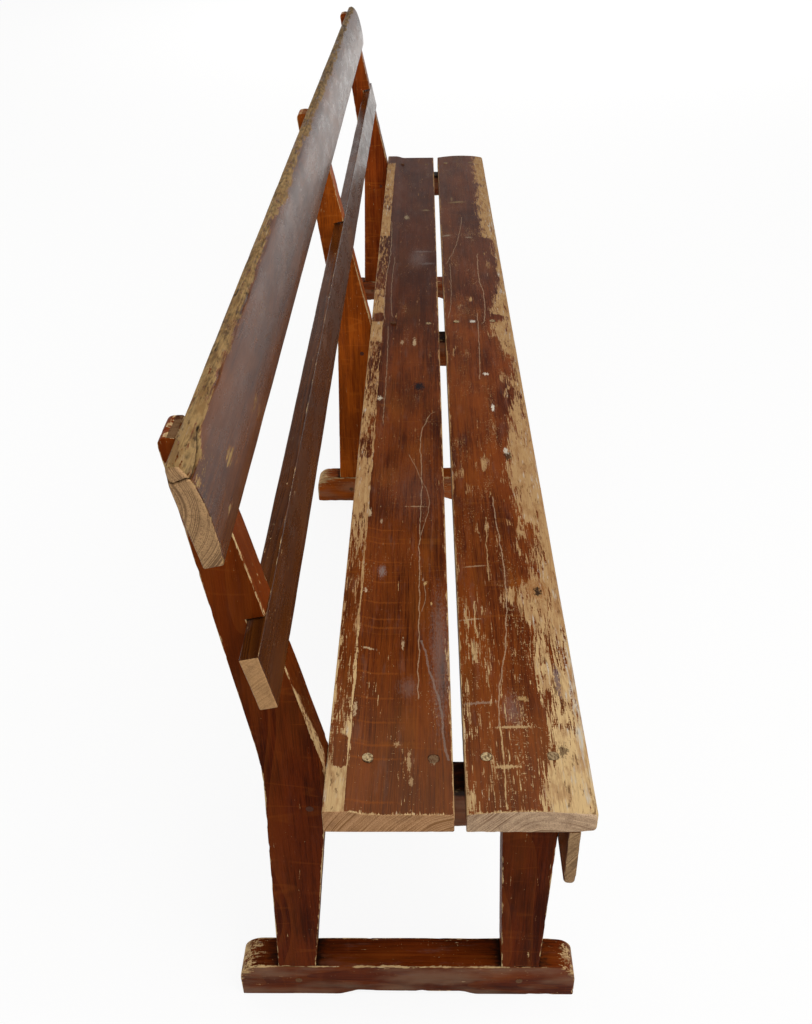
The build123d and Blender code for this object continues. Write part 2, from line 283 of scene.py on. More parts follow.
def meshPiece(name, points, quads, ends, fields, material, node):
    # points in millimetres; fields are named values per point that the material reads
    a, b, c, d = (points[quads[:, n]] for n in range(4))
    volume = np.sum(np.einsum("ij,ij->i", (a + c) / 2, np.cross(c - a, d - b)))
    if volume < 0:
        quads = quads[:, ::-1]
    mesh = bpy.data.meshes.new(name)
    mesh.vertices.add(len(points))
    mesh.vertices.foreach_set("co", (points * 0.001).astype(np.float32).ravel())
    mesh.loops.add(quads.size)
    mesh.loops.foreach_set("vertex_index", quads.ravel().astype(np.int32))
    mesh.polygons.add(len(quads))
    mesh.polygons.foreach_set("loop_start", np.arange(0, quads.size, 4, dtype=np.int32))
    mesh.update(calc_edges=True)
    mesh.polygons.foreach_set("use_smooth", np.ones(len(mesh.polygons), dtype=bool))
    for key, values in fields.items():
        layer = mesh.attributes.new(key, "FLOAT", "POINT")
        layer.data.foreach_set("value", np.asarray(values, dtype=np.float32))
    layer = mesh.attributes.new("endGrain", "FLOAT", "FACE")
    layer.data.foreach_set("value", ends.astype(np.float32))
    mesh.set_sharp_from_angle(angle=math.radians(50))
    mesh.materials.append(material)
    piece = bpy.data.objects.new(name, mesh)
    bpy.context.scene.collection.objects.link(piece)
    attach(piece, "root")
    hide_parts(node)
    return piece


def islandBoxes(node):
    # lowest and highest corner of every separate solid of a CAD node, in millimetres
    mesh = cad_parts[node].data
    points = np.empty(len(mesh.vertices) * 3, dtype=np.float32)
    mesh.vertices.foreach_get("co", points)
    points = np.round(points.reshape(-1, 3).astype(float) * 1000, 2)
    unique, same = np.unique(points, axis=0, return_inverse=True)
    label = np.arange(len(unique))
    corners = np.empty(len(mesh.loops), dtype=np.int32)
    mesh.loops.foreach_get("vertex_index", corners)
    triangles = same.ravel()[corners].reshape(-1, 3)
    changed = True
    while changed:
        lowest = label[triangles].min(axis=1)
        before = label.copy()
        for corner in range(3):
            np.minimum.at(label, triangles[:, corner], lowest)
        label = label[label]
        changed = not np.array_equal(before, label)
    boxes = [(unique[label == one].min(axis=0), unique[label == one].max(axis=0)) for one in np.unique(label)]
    return sorted(boxes, key=lambda box: (box[0][1], box[0][0], box[0][2]))


stainLook = {
    "axis": "X",                # way the grain runs
    "tilt": 0.0,                # degrees that the board leans back about its length
    "heart": (60.0, -150.0),    # centre of the growth rings, across and through the board
    "ringSpacing": 3.4,
    "dark": "#340f04", "mid": "#6f320b", "light": "#9e5a18",
    "dull": "#8f6246", "dulled": (-1300.0, -1020.0), "dullShare": 0.0,    # duller varnish between these places
    "glow": 0.16,               # strength of the slow orange drifts in the stain
    "thin": "#84481f",          # stain that is rubbed thin
    "bareLight": "#c6a676", "bareDark": "#99704a", "bareDirt": "#5e4128", "frost": "#bab3a6",
    "tan": "#8c5f34", "tanned": (-1180.0, -850.0), "tanShare": 0.0,    # bare wood browns between these places
    "endLight": "#b8966c", "endDark": "#94734d", "endRings": 0.6,
    "endStain": 0.05,           # how much of the stain is left on the sawn ends
    # colour of dirt and of painted shade, where the tone is below zero
    "shadeAndDirt": "#1c110b",
    "figure": 0.15, "figureGap": 34.0, "figureWidth": 0.13, "figureBend": 640.0,   # thin pale lines across the grain
    "deep": (-300.0, 350.0), "deepTint": "#44281b", "deepShare": 0.0,    # the stain dulls between these places
    "sideDull": 0.0,            # grey rubbing, with a painted sheen, of the faces that look along the bench
    "edgeWear": (0.3, 0.9),     # usual width of the worn line along the arrises, and how much it varies
    "rag": 1.0,                 # how ragged the bare patches are
    "chips": 2.5,               # how rare small flecks are, in standard deviations of their noise
    "scuff": "#7d6d66", "scuffShare": 0.1,  # grey rubbing of the varnish
    "roughness": 0.36,
    "shine": 0.09,              # specular level of the varnish
    "shineVary": 0.012,         # how much its roughness varies from patch to patch
    "scratches": (),
    "spots": (),
    "seed": 0.0,
}


def stainedWood(name, **changes):
    # pine, stained mahogany and varnished by brush: red-brown with pale wood where it has worn through
    look = dict(stainLook, **changes)
    material = bpy.data.materials.new(name)
    material.use_nodes = True
    tree = material.node_tree
    tree.nodes.clear()

    def add(kind, inputs=None, **settings):
        return addNode(tree, "ShaderNode" + kind, inputs, **settings)

    turn = {"X": (0, 0, 0), "Y": (0, 0, -math.pi / 2), "Z": (0, math.pi / 2, 0)}[look["axis"]]
    turn = (turn[0] + math.radians(look["tilt"]), turn[1], turn[2])
    place = add("TexCoord")
    inMm = add("Mapping", {"Vector": place.outputs["Object"], "Rotation": turn, "Scale": (1000, 1000, 1000)})
    shift = add("VectorMath", {0: inMm, 1: (look["seed"] * 37.0, 0, 0)}, operation="ADD")
    parts = add("SeparateXYZ", {0: inMm})
    along, across = parts.outputs[0], parts.outputs[1]

    def noise(x, y, detail=2.0, roughness=0.55):
        # noise in standard deviations, with cells x mm long and y mm wide and deep
        scaled = add("VectorMath", {0: shift, 1: (1 / x, 1 / y, 1 / y)}, operation="MULTIPLY")
        wave = add("TexNoise", {"Vector": scaled, "Scale": 1.0, "Detail": detail, "Roughness": roughness})
        spread = 0.06 + 0.07 * math.exp(-0.45 * detail)
        return add("Math", {0: wave, 1: 1 / spread, 2: -0.5 / spread}, operation="MULTIPLY_ADD")

    def span(value, low, high, toLow=0.0, toHigh=1.0):
        return add("MapRange", {0: value, 1: low, 2: high, 3: toLow, 4: toHigh}, interpolation_type="SMOOTHSTEP")

    def calc(operation, a, b=0.0):
        return add("Math", {0: a, 1: b}, operation=operation)

    def sumOf(*terms):
        # adds up pairs of a value and its weight
        total = calc("MULTIPLY", *terms[0])
        for value, weight in terms[1:]:
            total = add("Math", {0: value, 1: weight, 2: total}, operation="MULTIPLY_ADD")
        return total

    def blend(share, a, b):
        return add("Mix", {0: share, 6: a, 7: b}, data_type="RGBA").outputs[2]

    # growth rings, bent by a slow drift of the grain
    slow = add("VectorMath", {0: shift, 1: (1 / 420, 1 / 90, 1 / 90)}, operation="MULTIPLY")
    drift = add("TexNoise", {"Vector": slow, "Scale": 1.0, "Detail": 1.0})
    bent = add("VectorMath", {0: drift.outputs["Color"], 1: (0.5, 0.5, 0.5)}, operation="SUBTRACT")
    bent = add("VectorMath", {0: bent, 1: (0, 26, 26)}, operation="MULTIPLY")
    flat = add("VectorMath", {0: shift, 1: bent}, operation="ADD")
    flat = add("VectorMath", {0: flat, 1: (0, look["heart"][0], look["heart"][1])}, operation="SUBTRACT")
    flat = add("VectorMath", {0: flat, 1: (0.004, 1, 1)}, operation="MULTIPLY")
    reach = add("VectorMath", {0: flat}, operation="LENGTH")
    uneven = add("TexNoise", {"W": calc("MULTIPLY", reach.outputs["Value"], 0.09), "Scale": 1.0, "Detail": 2.0},
                 noise_dimensions="1D")
    grown = sumOf((reach.outputs["Value"], 1 / look["ringSpacing"]), (uneven, 7.0))
    ring = calc("FRACT", grown)
    lateWood = span(ring, 0.3, 0.95)
    fibre = noise(60, 0.8, 3.0, 0.6)
    streak = noise(150, 4.5, 3.0, 0.6)
    blotch = noise(170, 60, 3.0)

    # stain: dark where the soft wood drank it, thin orange lines where the grain turns
    depth = sumOf((blotch, 0.5), (streak, 0.3), (fibre, 0.4), (noise(16, 0.5, 2.0), 0.3))
    stain = blend(span(depth, -1.6, 1.6), linear(look["dark"]), linear(look["mid"]))
    stain = blend(span(noise(140, 50, 1.5), 0.2, 2.8, 0.0, look["glow"]), stain, linear(look["light"]))
    stain = blend(span(along, *look["dulled"], look["dullShare"], 0.0), stain, linear(look["dull"]))
    line = span(calc("ABSOLUTE", noise(look["figureGap"], look["figureBend"], 1.0)), 0.0, look["figureWidth"], 1.0, 0.0)
    faint = span(noise(110, 38, 1.5), -1.3, 0.6, 0.0, look["figure"])
    stain = blend(calc("MULTIPLY", line, faint), stain, linear(look["light"]))
    stain = blend(calc("MULTIPLY", lateWood, 0.12), stain, linear(look["light"]))
    stain = blend(span(fibre, 0.3, 2.4, 0.0, 0.4), stain, linear(look["dark"]))
    stain = blend(span(along, *look["deep"], 0.0, look["deepShare"]), stain, linear(look["deepTint"]))
    if look["sideDull"]:
        # faces that look along the bench go greyer: rubbing, and a painted sheen
        facing = calc("ABSOLUTE", add("SeparateXYZ", {0: place.outputs["Normal"]}))
        sideRubAndSheenShare = calc("MULTIPLY", span(facing, 0.6, 0.95), span(noise(90, 25, 3.0), -2.0, 2.0, 0.0, look["sideDull"]))
        stain = blend(sideRubAndSheenShare, stain, linear(look["dull"]))
    stain = blend(span(noise(80, 15, 5.0, 0.7), 0.5, 2.6, 0.0, look["scuffShare"]), stain, linear(look["scuff"]))

    # bare wood: warm late wood lines, brown stain left in the pores and ground-in dirt
    bare = blend(calc("MULTIPLY", lateWood, 0.35), linear(look["bareLight"]), linear(look["bareDark"]))
    bare = blend(span(noise(42, 11, 4.0, 0.65), -0.6, 1.8, 0.0, 0.65), bare, linear(look["bareDark"]))
    bare = blend(span(fibre, 0.4, 2.4, 0.0, 0.5), bare, linear(look["bareDirt"]))
    bare = blend(span(noise(22, 6, 5.0, 0.7), 1.0, 2.2, 0.0, 0.8), bare, linear(look["bareDirt"]))
    bare = blend(span(along, *look["tanned"], 0.0, look["tanShare"]), bare, linear(look["tan"]))
    tone = add("Attribute", attribute_name="tone").outputs["Fac"]
    pale = sumOf((tone, 1.0), (noise(34, 4, 3.0, 0.6), 0.3))
    bare = blend(span(pale, 0.3, 1.1, 0.0, 0.85), bare, linear(look["frost"]))

    # where the stain is gone: rubbed patches, arrises and small flecks
    wear = add("Attribute", attribute_name="bare")
    dash = noise(24, 1.7, 2.5, 0.6)
    rag = sumOf((noise(60, 9, 4.0, 0.6), 0.4), (dash, 0.52), (noise(4.5, 1.1, 2.0), 0.14), (noise(1.5, 8, 2.0), 0.16))
    state = sumOf((wear.outputs["Fac"], 1.0), (rag, look["rag"]))
    worn = span(state, 0.0, 0.1)
    arris = add("Attribute", attribute_name="edgeMm")
    limit = sumOf((noise(30, 12, 5.0, 0.7), look["edgeWear"][1]), (arris.outputs["Fac"], -1.0))
    rubbed = span(limit, -look["edgeWear"][0] - 0.2, -look["edgeWear"][0] + 0.4)
    fleck = calc("MAXIMUM", noise(6, 1.5, 2.5, 0.6), calc("SUBTRACT", noise(1.3, 6, 2.5, 0.6), 0.25))
    flake = sumOf((fleck, 1.0), (noise(120, 40, 2.0), 0.5))
    flaked = span(flake, look["chips"], look["chips"] + 0.25)
    gone = calc("MAXIMUM", calc("MAXIMUM", worn, rubbed), flaked)
    stain = blend(span(state, -0.6, 0.0, 0.0, 0.55), stain, linear(look["thin"]))

    colour = blend(gone, stain, bare)
    relief = sumOf((fibre, 0.012), (gone, -0.2))
    for scratch in look["scratches"]:
        scar = scratchLine(tree, along, across, scratch)
        colour = blend(scar, colour, linear(scratch.get("colour", "#ab8f70")))
        relief = sumOf((scar, -0.15), (relief, 1.0))
    for spot in look["spots"]:
        colour = blend(spotMask(tree, inMm, spot), colour, linear(spot["colour"]))

    end = add("Attribute", attribute_name="endGrain")
    clear = span(noise(300, 30, 1.5), -1.6, 0.8, 0.5 * look["endRings"], look["endRings"])
    sawn = blend(calc("MULTIPLY", lateWood, clear), linear(look["endLight"]), linear(look["endDark"]))
    sawn = blend(span(noise(2, 1.1, 2.0), -0.4, 2.0, 0.0, 0.7), sawn, linear(look["endDark"]))
    left = look["endStain"]
    sawn = blend(span(noise(40, 16, 4.0, 0.65), -0.5, 2.2, left, min(1.0, left * 5)), sawn, linear(look["dark"]))
    colour = blend(end.outputs["Fac"], colour, sawn)
    # darker where the tone is below zero: dirt, and painted shade in the feet's corners, on the bearers' tops and in
    # the top board's crack
    shadeAndDirtLevel = sumOf((tone, -1.0), (noise(12, 5, 3.0), 0.12))
    colour = blend(span(shadeAndDirtLevel, 0.15, 1.0, 0.0, 0.95), colour, linear(look["shadeAndDirt"]))

    patchy = noise(75, 26, 4.0, 0.65)
    rough = sumOf((patchy, look["shineVary"]), (calc("MAXIMUM", gone, end.outputs["Fac"]), 0.38))
    rough = calc("ADD", rough, look["roughness"])
    bump = add("Bump", {"Height": relief, "Distance": 0.001, "Strength": 0.8})
    shader = add("BsdfPrincipled", {
        "Base Color": colour, "Roughness": rough, "IOR": 1.45, "Specular IOR Level": look["shine"], "Normal": bump})
    add("OutputMaterial", {"Surface": shader})
    return material


def benchPoint(fromLeft, fromBack):
    # turns distances from the planks' left end and from the seat's rear edge into X and Y
    low, high = boxOf("seat_plank_rear")
    return low[0] + fromLeft, high[1] - fromBack


def scratchLine(tree, along, across, scratch):
    # a thin line whose place across the board follows a curve along it
    def add(kind, inputs=None, **settings):
        return addNode(tree, "ShaderNode" + kind, inputs, **settings)

    points = sorted(benchPoint(*point) for point in scratch["points"])
    first, last = points[0][0], points[-1][0]
    low = min(p[1] for p in points) - 1
    high = max(p[1] for p in points) + 1
    share = add("MapRange", {0: along, 1: first, 2: last})
    course = add("FloatCurve", {"Value": share})
    curve = course.mapping.curves[0]
    places = [((x - first) / (last - first), (y - low) / (high - low)) for x, y in points]
    curve.points[0].location = places[0]
    curve.points[1].location = places[-1]
    for spot in places[1:-1]:
        curve.points.new(*spot)
    course.mapping.update()
    middle = add("MapRange", {0: course, 3: low, 4: high})
    wobble = add("TexNoise", {"W": along, "Scale": 0.035, "Detail": 3.0}, noise_dimensions="1D")
    shake = add("MapRange", {0: wobble, 3: -2.4, 4: 2.4})
    middle = add("Math", {0: middle, 1: shake}, operation="ADD")
    off = add("Math", {0: across, 1: middle}, operation="SUBTRACT")
    off = add("Math", {0: off}, operation="ABSOLUTE")
    beat = add("TexNoise", {"W": along, "Scale": 0.09, "Detail": 4.0, "Roughness": 0.7}, noise_dimensions="1D")
    width = scratch["width"]
    width = add("MapRange", {0: beat, 1: 0.3, 2: 0.6, 3: width * 0.15, 4: width * 0.6})
    line = add("Math", {0: width, 1: off}, operation="SUBTRACT")
    line = add("MapRange", {0: line, 1: -0.2, 2: 0.25, 4: scratch["strength"]}, interpolation_type="SMOOTHSTEP")
    start = add("Math", {0: along, 1: first}, operation="GREATER_THAN")
    stop = add("Math", {0: along, 1: last}, operation="LESS_THAN")
    line = add("Math", {0: line, 1: start}, operation="MULTIPLY")
    return add("Math", {0: line, 1: stop}, operation="MULTIPLY")


def spotMask(tree, inMm, spot):
    # a ragged blot round one place of the seat; size is its half length and half width
    def add(kind, inputs=None, **settings):
        return addNode(tree, "ShaderNode" + kind, inputs, **settings)

    x, y = benchPoint(*spot["at"])
    off = add("VectorMath", {0: inMm, 1: (x, y, 0)}, operation="SUBTRACT")
    size = spot["size"]
    off = add("VectorMath", {0: off, 1: (1 / size[0], 1 / size[1], 0)}, operation="MULTIPLY")
    off = add("VectorMath", {0: off}, operation="LENGTH")
    grain = add("VectorMath", {0: inMm, 1: (0.2, 0.5, 0.5)}, operation="MULTIPLY")
    rag = add("TexNoise", {"Vector": grain, "Scale": 1.0, "Detail": 4.0, "Roughness": 0.7})
    rag = add("MapRange", {0: rag, 3: -2.2, 4: 2.2})
    edge = add("Math", {0: off.outputs["Value"], 1: rag}, operation="ADD")
    soft = spot.get("soft", 0.1)
    return add("MapRange", {0: edge, 1: 1.0 - soft, 2: 1.0 + soft, 3: spot["strength"], 4: 0.0},
               interpolation_type="SMOOTHSTEP")


# scratches and spots of the seat: places are distances from the left end and from the seat's rear edge
rearScratches = [
    {"points": [(905, 131), (866, 114), (799, 105), (734, 106), (664, 107), (518, 104), (393, 104), (176, 103)],
     "width": 1.5, "strength": 0.62},
    {"points": [(755, 85), (664, 109), (611, 119), (560, 113), (518, 105)], "width": 1.3, "strength": 0.45},
    {"points": [(416, 109), (381, 112), (341, 107)], "width": 1.2, "strength": 0.4},
    {"points": [(283, 107), (218, 119), (151, 131), (108, 133), (77, 138)], "width": 3.0, "strength": 0.34,
     "colour": "#8f877c"},
    {"points": [(1278, 36), (1030, 39), (858, 38)], "width": 1.3, "strength": 0.5},
    {"points": [(1960, 25), (1750, 30), (1500, 24), (1310, 31)], "width": 1.6, "strength": 0.55},
    {"points": [(1700, 42), (1480, 38), (1330, 46)], "width": 1.5, "strength": 0.4},
]
frontScratches = [
    {"points": [(616, 218), (552, 219), (465, 223), (380, 223), (314, 219), (233, 210), (168, 200), (125, 198)],
     "width": 1.6, "strength": 0.7},
    {"points": [(125, 199), (70, 200), (4, 198)], "width": 1.8, "strength": 0.8, "colour": "#bd9c6d"},
    {"points": [(360, 179), (330, 178), (284, 180)], "width": 2.0, "strength": 0.8, "colour": "#bd9c6d"},
    {"points": [(560, 205), (480, 202), (402, 201)], "width": 1.5, "strength": 0.6, "colour": "#bd9c6d"},
    {"points": [(1706, 243), (1538, 239), (1450, 245), (1284, 232)], "width": 1.8, "strength": 0.65},
    {"points": [(1338, 226), (1185, 223), (1024, 217)], "width": 1.6, "strength": 0.6},
    {"points": [(1987, 213), (1878, 205), (1736, 186), (1648, 164)], "width": 1.6, "strength": 0.55},
    {"points": [(1646, 174), (1463, 173), (1323, 163)], "width": 1.5, "strength": 0.5},
]
rearSpots = [
    {"at": (1006, 102), "size": (14, 9), "colour": "#15161b", "strength": 0.95},
    {"at": (431, 51), "size": (11, 4), "colour": "#8e8a86", "strength": 0.45, "soft": 0.7},
    {"at": (195, 90), "size": (12, 9), "colour": "#8a8078", "strength": 0.17, "soft": 0.9},
    {"at": (255, 131), "size": (90, 9), "colour": "#8a857f", "strength": 0.26, "soft": 0.9},
    {"at": (640, 95), "size": (60, 34), "colour": "#6d5248", "strength": 0.2, "soft": 0.9},
    {"at": (76, 93), "size": (17, 2.2), "colour": "#b08f66", "strength": 0.75},
    {"at": (46, 96), "size": (5, 2.5), "colour": "#b08f66", "strength": 0.7},
    {"at": (102, 79), "size": (3, 3), "colour": "#b08f66", "strength": 0.7},
    {"at": (77, 121), "size": (5, 3.5), "colour": "#a5916f", "strength": 0.6},
    {"at": (155, 28), "size": (11, 2), "colour": "#b89d78", "strength": 0.8},
    {"at": (265, 39), "size": (2, 7), "colour": "#b89d78", "strength": 0.75},
    {"at": (276, 83), "size": (9, 1.6), "colour": "#b89d78", "strength": 0.7},
    {"at": (382, 30), "size": (5, 1.8), "colour": "#c2a988", "strength": 0.7},
    {"at": (403, 112), "size": (4, 2.4), "colour": "#b5925f", "strength": 0.85},
    {"at": (359, 120), "size": (3, 1.6), "colour": "#b5925f", "strength": 0.85},
    {"at": (555, 46), "size": (5, 1.6), "colour": "#b39a78", "strength": 0.55},
    {"at": (597, 98), "size": (1.4, 14), "colour": "#a98a68", "strength": 0.55},
    {"at": (573, 28), "size": (10, 2.2), "colour": "#b39a78", "strength": 0.85},
    {"at": (950, 30), "size": (7, 4), "colour": "#c3b69c", "strength": 0.85},
    {"at": (1205, 92), "size": (17, 3.4), "colour": "#b89d78", "strength": 0.8},
    {"at": (1204, 67), "size": (9, 3.4), "colour": "#b89d78", "strength": 0.55},
    {"at": (2005, 66), "size": (14, 6), "colour": "#a08c68", "strength": 0.7},
    {"at": (2065, 118), "size": (5, 9), "colour": "#a08c68", "strength": 0.5},
    {"at": (1738, 110), "size": (5, 21), "colour": "#857c78", "strength": 0.34, "soft": 0.6},
    {"at": (1655, 122), "size": (6, 15), "colour": "#857c78", "strength": 0.26, "soft": 0.7},
    {"at": (1690, 98), "size": (46, 17), "colour": "#7c736f", "strength": 0.3, "soft": 0.9},
]
# pale lines across the rear plank's grain, where the varnish shows the wood's figure
figureLines = [17, 79, 100, 136, 176, 220, 307, 325, 360, 405, 452, 498, 532]
rearSpots += [{"at": (fromLeft, 52), "size": (1.5, 27), "colour": "#a85a1e", "strength": 0.2, "soft": 0.6}
              for fromLeft in figureLines]
frontSpots = [
    {"at": (384, 266), "size": (22, 12), "colour": "#8a5325", "strength": 0.6, "soft": 0.5},
    {"at": (379, 266), "size": (9, 5), "colour": "#1e1510", "strength": 0.9, "soft": 0.25},
    {"at": (742, 250), "size": (13, 6), "colour": "#3a2a1c", "strength": 0.8},
    {"at": (757, 249), "size": (9, 4), "colour": "#cdc3af", "strength": 0.8},
    {"at": (88, 268), "size": (8, 5), "colour": "#4a3524", "strength": 0.75},
    {"at": (204, 274), "size": (26, 3), "colour": "#54404a", "strength": 0.7},
    {"at": (910, 235), "size": (12, 2.5), "colour": "#d6ccb8", "strength": 0.9},
    {"at": (1046, 230), "size": (5, 5), "colour": "#d6ccb8", "strength": 0.85},
    {"at": (1296, 214), "size": (6, 5), "colour": "#cfc7b6", "strength": 0.8},
    {"at": (152, 215), "size": (20, 8), "colour": "#8f8580", "strength": 0.22, "soft": 0.9},
    {"at": (64, 205), "size": (2.4, 11), "colour": "#bb9a6c", "strength": 0.85},
    {"at": (124, 215), "size": (2, 20), "colour": "#bb9a6c", "strength": 0.75},
    {"at": (170, 229), "size": (4, 5), "colour": "#b5925f", "strength": 0.7},
    {"at": (166, 176), "size": (2, 18), "colour": "#a08d78", "strength": 0.45},
    {"at": (322, 172), "size": (1.4, 12), "colour": "#b89d78", "strength": 0.6},
    {"at": (438, 185), "size": (1.4, 16), "colour": "#a98a68", "strength": 0.6},
    {"at": (2120, 204), "size": (6, 19), "colour": "#9c8457", "strength": 0.5, "soft": 0.5},
    {"at": (2150, 190), "size": (16, 2.5), "colour": "#9c8457", "strength": 0.35, "soft": 0.5},
    {"at": (1850, 171), "size": (5, 11), "colour": "#a3957c", "strength": 0.5, "soft": 0.3},
    {"at": (1825, 226), "size": (4, 7), "colour": "#a3957c", "strength": 0.5, "soft": 0.3},
]

seatRearWood = stainedWood("mahoganyStainedPineRearPlank", heart=(-95.0, 330.0), scratches=rearScratches,
                           spots=rearSpots, chips=2.75, tanShare=0.5, dullShare=0.26, ringSpacing=2.6, deepShare=0.6,
                           deepTint="#3c1b0c",
                           endLight="#c2946a", endDark="#80562f", endRings=0.95)
seatFrontWood = stainedWood("mahoganyStainedPineFrontPlank", heart=(-168.0, 352.0), scratches=frontScratches,
                            spots=frontSpots, seed=3.0, chips=2.4, tanShare=0.5, dullShare=0.2, deepShare=0.5, deep=(-100.0, 450.0),
                            dark="#3c1305", mid="#7c3a0f", endLight="#cfb08f", endDark="#8a6a50",
                            endRings=1.0, ringSpacing=2.9)
lowerWood = stainedWood("mahoganyStainedPineLowerBoard", tilt=12.0, seed=5.0, chips=3.1, edgeWear=(-0.1, 0.38),
                        dark="#331606", mid="#49240b", heart=(-70.0, 530.0), roughness=0.28, shine=0.2, figure=0.0,
                        shineVary=0.035,
                        endLight="#bd9161", endDark="#936a42", endRings=0.6, ringSpacing=2.4)
upperWood = stainedWood("mahoganyStainedPineTopBoard", tilt=12.0, seed=15.0, chips=2.8, edgeWear=(0.6, 1.2),
                        dark="#35180d", mid="#592f13", heart=(78.0, 862.0), roughness=0.28, shine=0.21,
                        shineVary=0.02, bareLight="#987a4d", bareDark="#704e28", bareDirt="#4a3019", rag=0.8,
                        figure=0.1, ringSpacing=3.9, endLight="#bd9568", endDark="#6b4e34", endRings=0.85)
apronWood = stainedWood("mahoganyStainedPineApron", seed=25.0, chips=3.1, edgeWear=(0.3, 0.8), dark="#391507",
                        mid="#5f2d12", heart=(-330.0, 250.0), endLight="#b39068", endDark="#6b5036", endRings=0.75,
                        ringSpacing=4.2)
# the three frames took the stain differently; the middle and right ones are also painted lighter, standing in for the
# light that falls on them
frameStainAndLight = {"left": ("#340e01", "#622506", 0.12, 0.26), "middle": ("#652a09", "#a54f10", 0.4, 0.0),
              "right": ("#4f1b08", "#8e3e11", 0.4, 0.0)}
frameWood = {}
for side, (dark, mid, figure, glowing) in frameStainAndLight.items():
    look = {"dark": dark, "mid": mid, "light": "#a8581c", "figureGap": 34.0, "figureWidth": 0.26, "figureBend": 230.0}
    frameWood[side, "Z"] = stainedWood("mahoganyStainedPineUprights", axis="Z", chips=3.2, edgeWear=(0.5, 1.0),
                                       heart=(-20.0, 60.0), seed=7.0, shine=0.02, endStain=0.75, figure=figure,
                                       dull="#94420f", dulled=(640.0, 520.0), dullShare=glowing, scuffShare=0.02,
                                       **look)
    frameWood[side, "Y"] = stainedWood("mahoganyStainedPineFeet", axis="Y", chips=2.8, edgeWear=(1.3, 1.0),
                                       heart=(-40.0, 90.0), seed=9.0, shine=0.05, endStain=0.6, figure=0.06,
                                       scuffShare=0.12, dull="#8d7058", sideDull=0.45, **look)
print("stage: wood")


def lengthwiseBoard(name, node, look, lines, place, material, bareField, holes=()):
    # block points run along the bench, across the board and through it; place turns them into bench points
    along, wide, thick = lines
    points, quads, ends = latticeSurface(along, wide, thick)
    size = np.array([along[-1], wide[-1], thick[-1]])
    spot = place(points)
    edge = arrisDistance(points, size)
    radius = look["radius"] + look["radiusNoise"] * valueNoise(spot, 60, look["seed"])
    if "softer" in look:
        radius = radius + look["softer"](points)
    radius = np.clip(radius, 0.6, size[2] / 2 - 0.2)
    wave = look["wave"] * (1 + valueNoise(spot, (150, 45, 45), look["seed"] + 1))
    nicks = np.clip(valueNoise(spot, (13, 8, 8), look["seed"] + 2) - 0.35, 0, 1) * np.clip(1 - edge / 5, 0, 1)
    deep = np.clip(valueNoise(spot, (420, 300, 300), look["seed"] + 3), 0.15, 1)
    dent = wave + nicks * deep * look["nick"]
    tone = look["tone"](points) if "tone" in look else np.zeros(len(points))
    if "carve" in look:
        dent = dent + look["carve"](points)
    shaped = roundedBlock(points, size, radius, dent)
    onTop = points[:, 2] == size[2]
    for centres, holeRadius, depth in holes:
        shaped = sinkHoles(shaped, onTop, (0, 1, 2), centres, holeRadius, depth)
        for centre in centres:
            near = np.abs(points[:, :2] - centre).max(axis=1) < holeRadius + 1
            tone = np.where(onTop & near, -0.8, tone)
    fields = {"edgeMm": edge, "bare": bareField(points), "tone": tone}
    return meshPiece(name, place(shaped), quads, ends, fields, material, node)


plugLook = {"play": 0.15, "sunk": 1.4, "below": 0.35, "depth": 4.0}


def plugHoles(plank):
    # places of the putty plugs in a plank's block, with the radius of their holes
    low, high = boxOf(plank)
    centres = []
    radius = 0
    for name in frameNames:
        for boxLow, boxHigh in islandBoxes("screw_plugs_" + name):
            middle = (boxLow + boxHigh) / 2
            if low[1] < middle[1] < high[1]:
                centres.append((middle[0] - low[0], high[1] - middle[1]))
                radius = (boxHigh[0] - boxLow[0]) / 2
    return centres, radius + plugLook["play"]


def plankLines(size, centres, radius, extraWide=()):
    alongLines = sum([holeLines(centre[0], radius) for centre in centres[::2]], [])
    wideLines = sum([holeLines(centre[1], radius) for centre in centres[:2]], [])
    wideLines += [line for line in extraWide if min(abs(line - hole) for hole in wideLines) > 1]
    return steps(size[0], 6.0, alongLines), steps(size[1], 5.0, wideLines), steps(size[2], 5.0)


# How bare the wood is, is given in standard deviations of the ragged noise: 1.5 is raw wood, 0 is half worn,
# -1 has a few flecks and -2 is whole varnish.

rearPlankLook = {
    "band": 25.0, "slopeRun": 26.0, "dish": 5.5,      # raised band along the rear edge, and the dish before it
    "radius": 1.9, "radiusNoise": 0.9, "wave": 0.12, "nick": 2.4, "seed": 11,
    # how bare the raised band is, from the left end on
    "bandWear": [(0, 1.8), (60, 1.8), (64, -2.2), (109, -2.2), (113, 0.2), (150, -0.3), (205, -0.6), (240, -1.0),
                 (350, -1.1), (420, -0.8), (500, -0.5), (530, 0.4), (600, 1.2), (730, 1.1), (738, -0.3), (795, -0.4),
                 (810, 0.05), (960, 0.15), (1060, -0.2), (1145, -0.45), (1152, -0.2), (1198, 0.1), (1204, 1.5),
                 (1297, 1.5), (1301, -2.0), (1343, -2.0), (1347, 1.3), (1425, 1.0), (1440, -0.4), (1470, 0.5),
                 (1490, -0.9), (1600, -0.5), (1840, -0.3), (1852, 1.5), (2045, 1.3), (2060, 0.2), (2175, 0.2),
                 (2190, 1.0), (2520, 0.9), (2530, -1.6), (2600, -1.6)],
    "varnish": -1.8,           # the rest of the plank
    "crest": 1.4,              # the thin worn line where the band ends
}


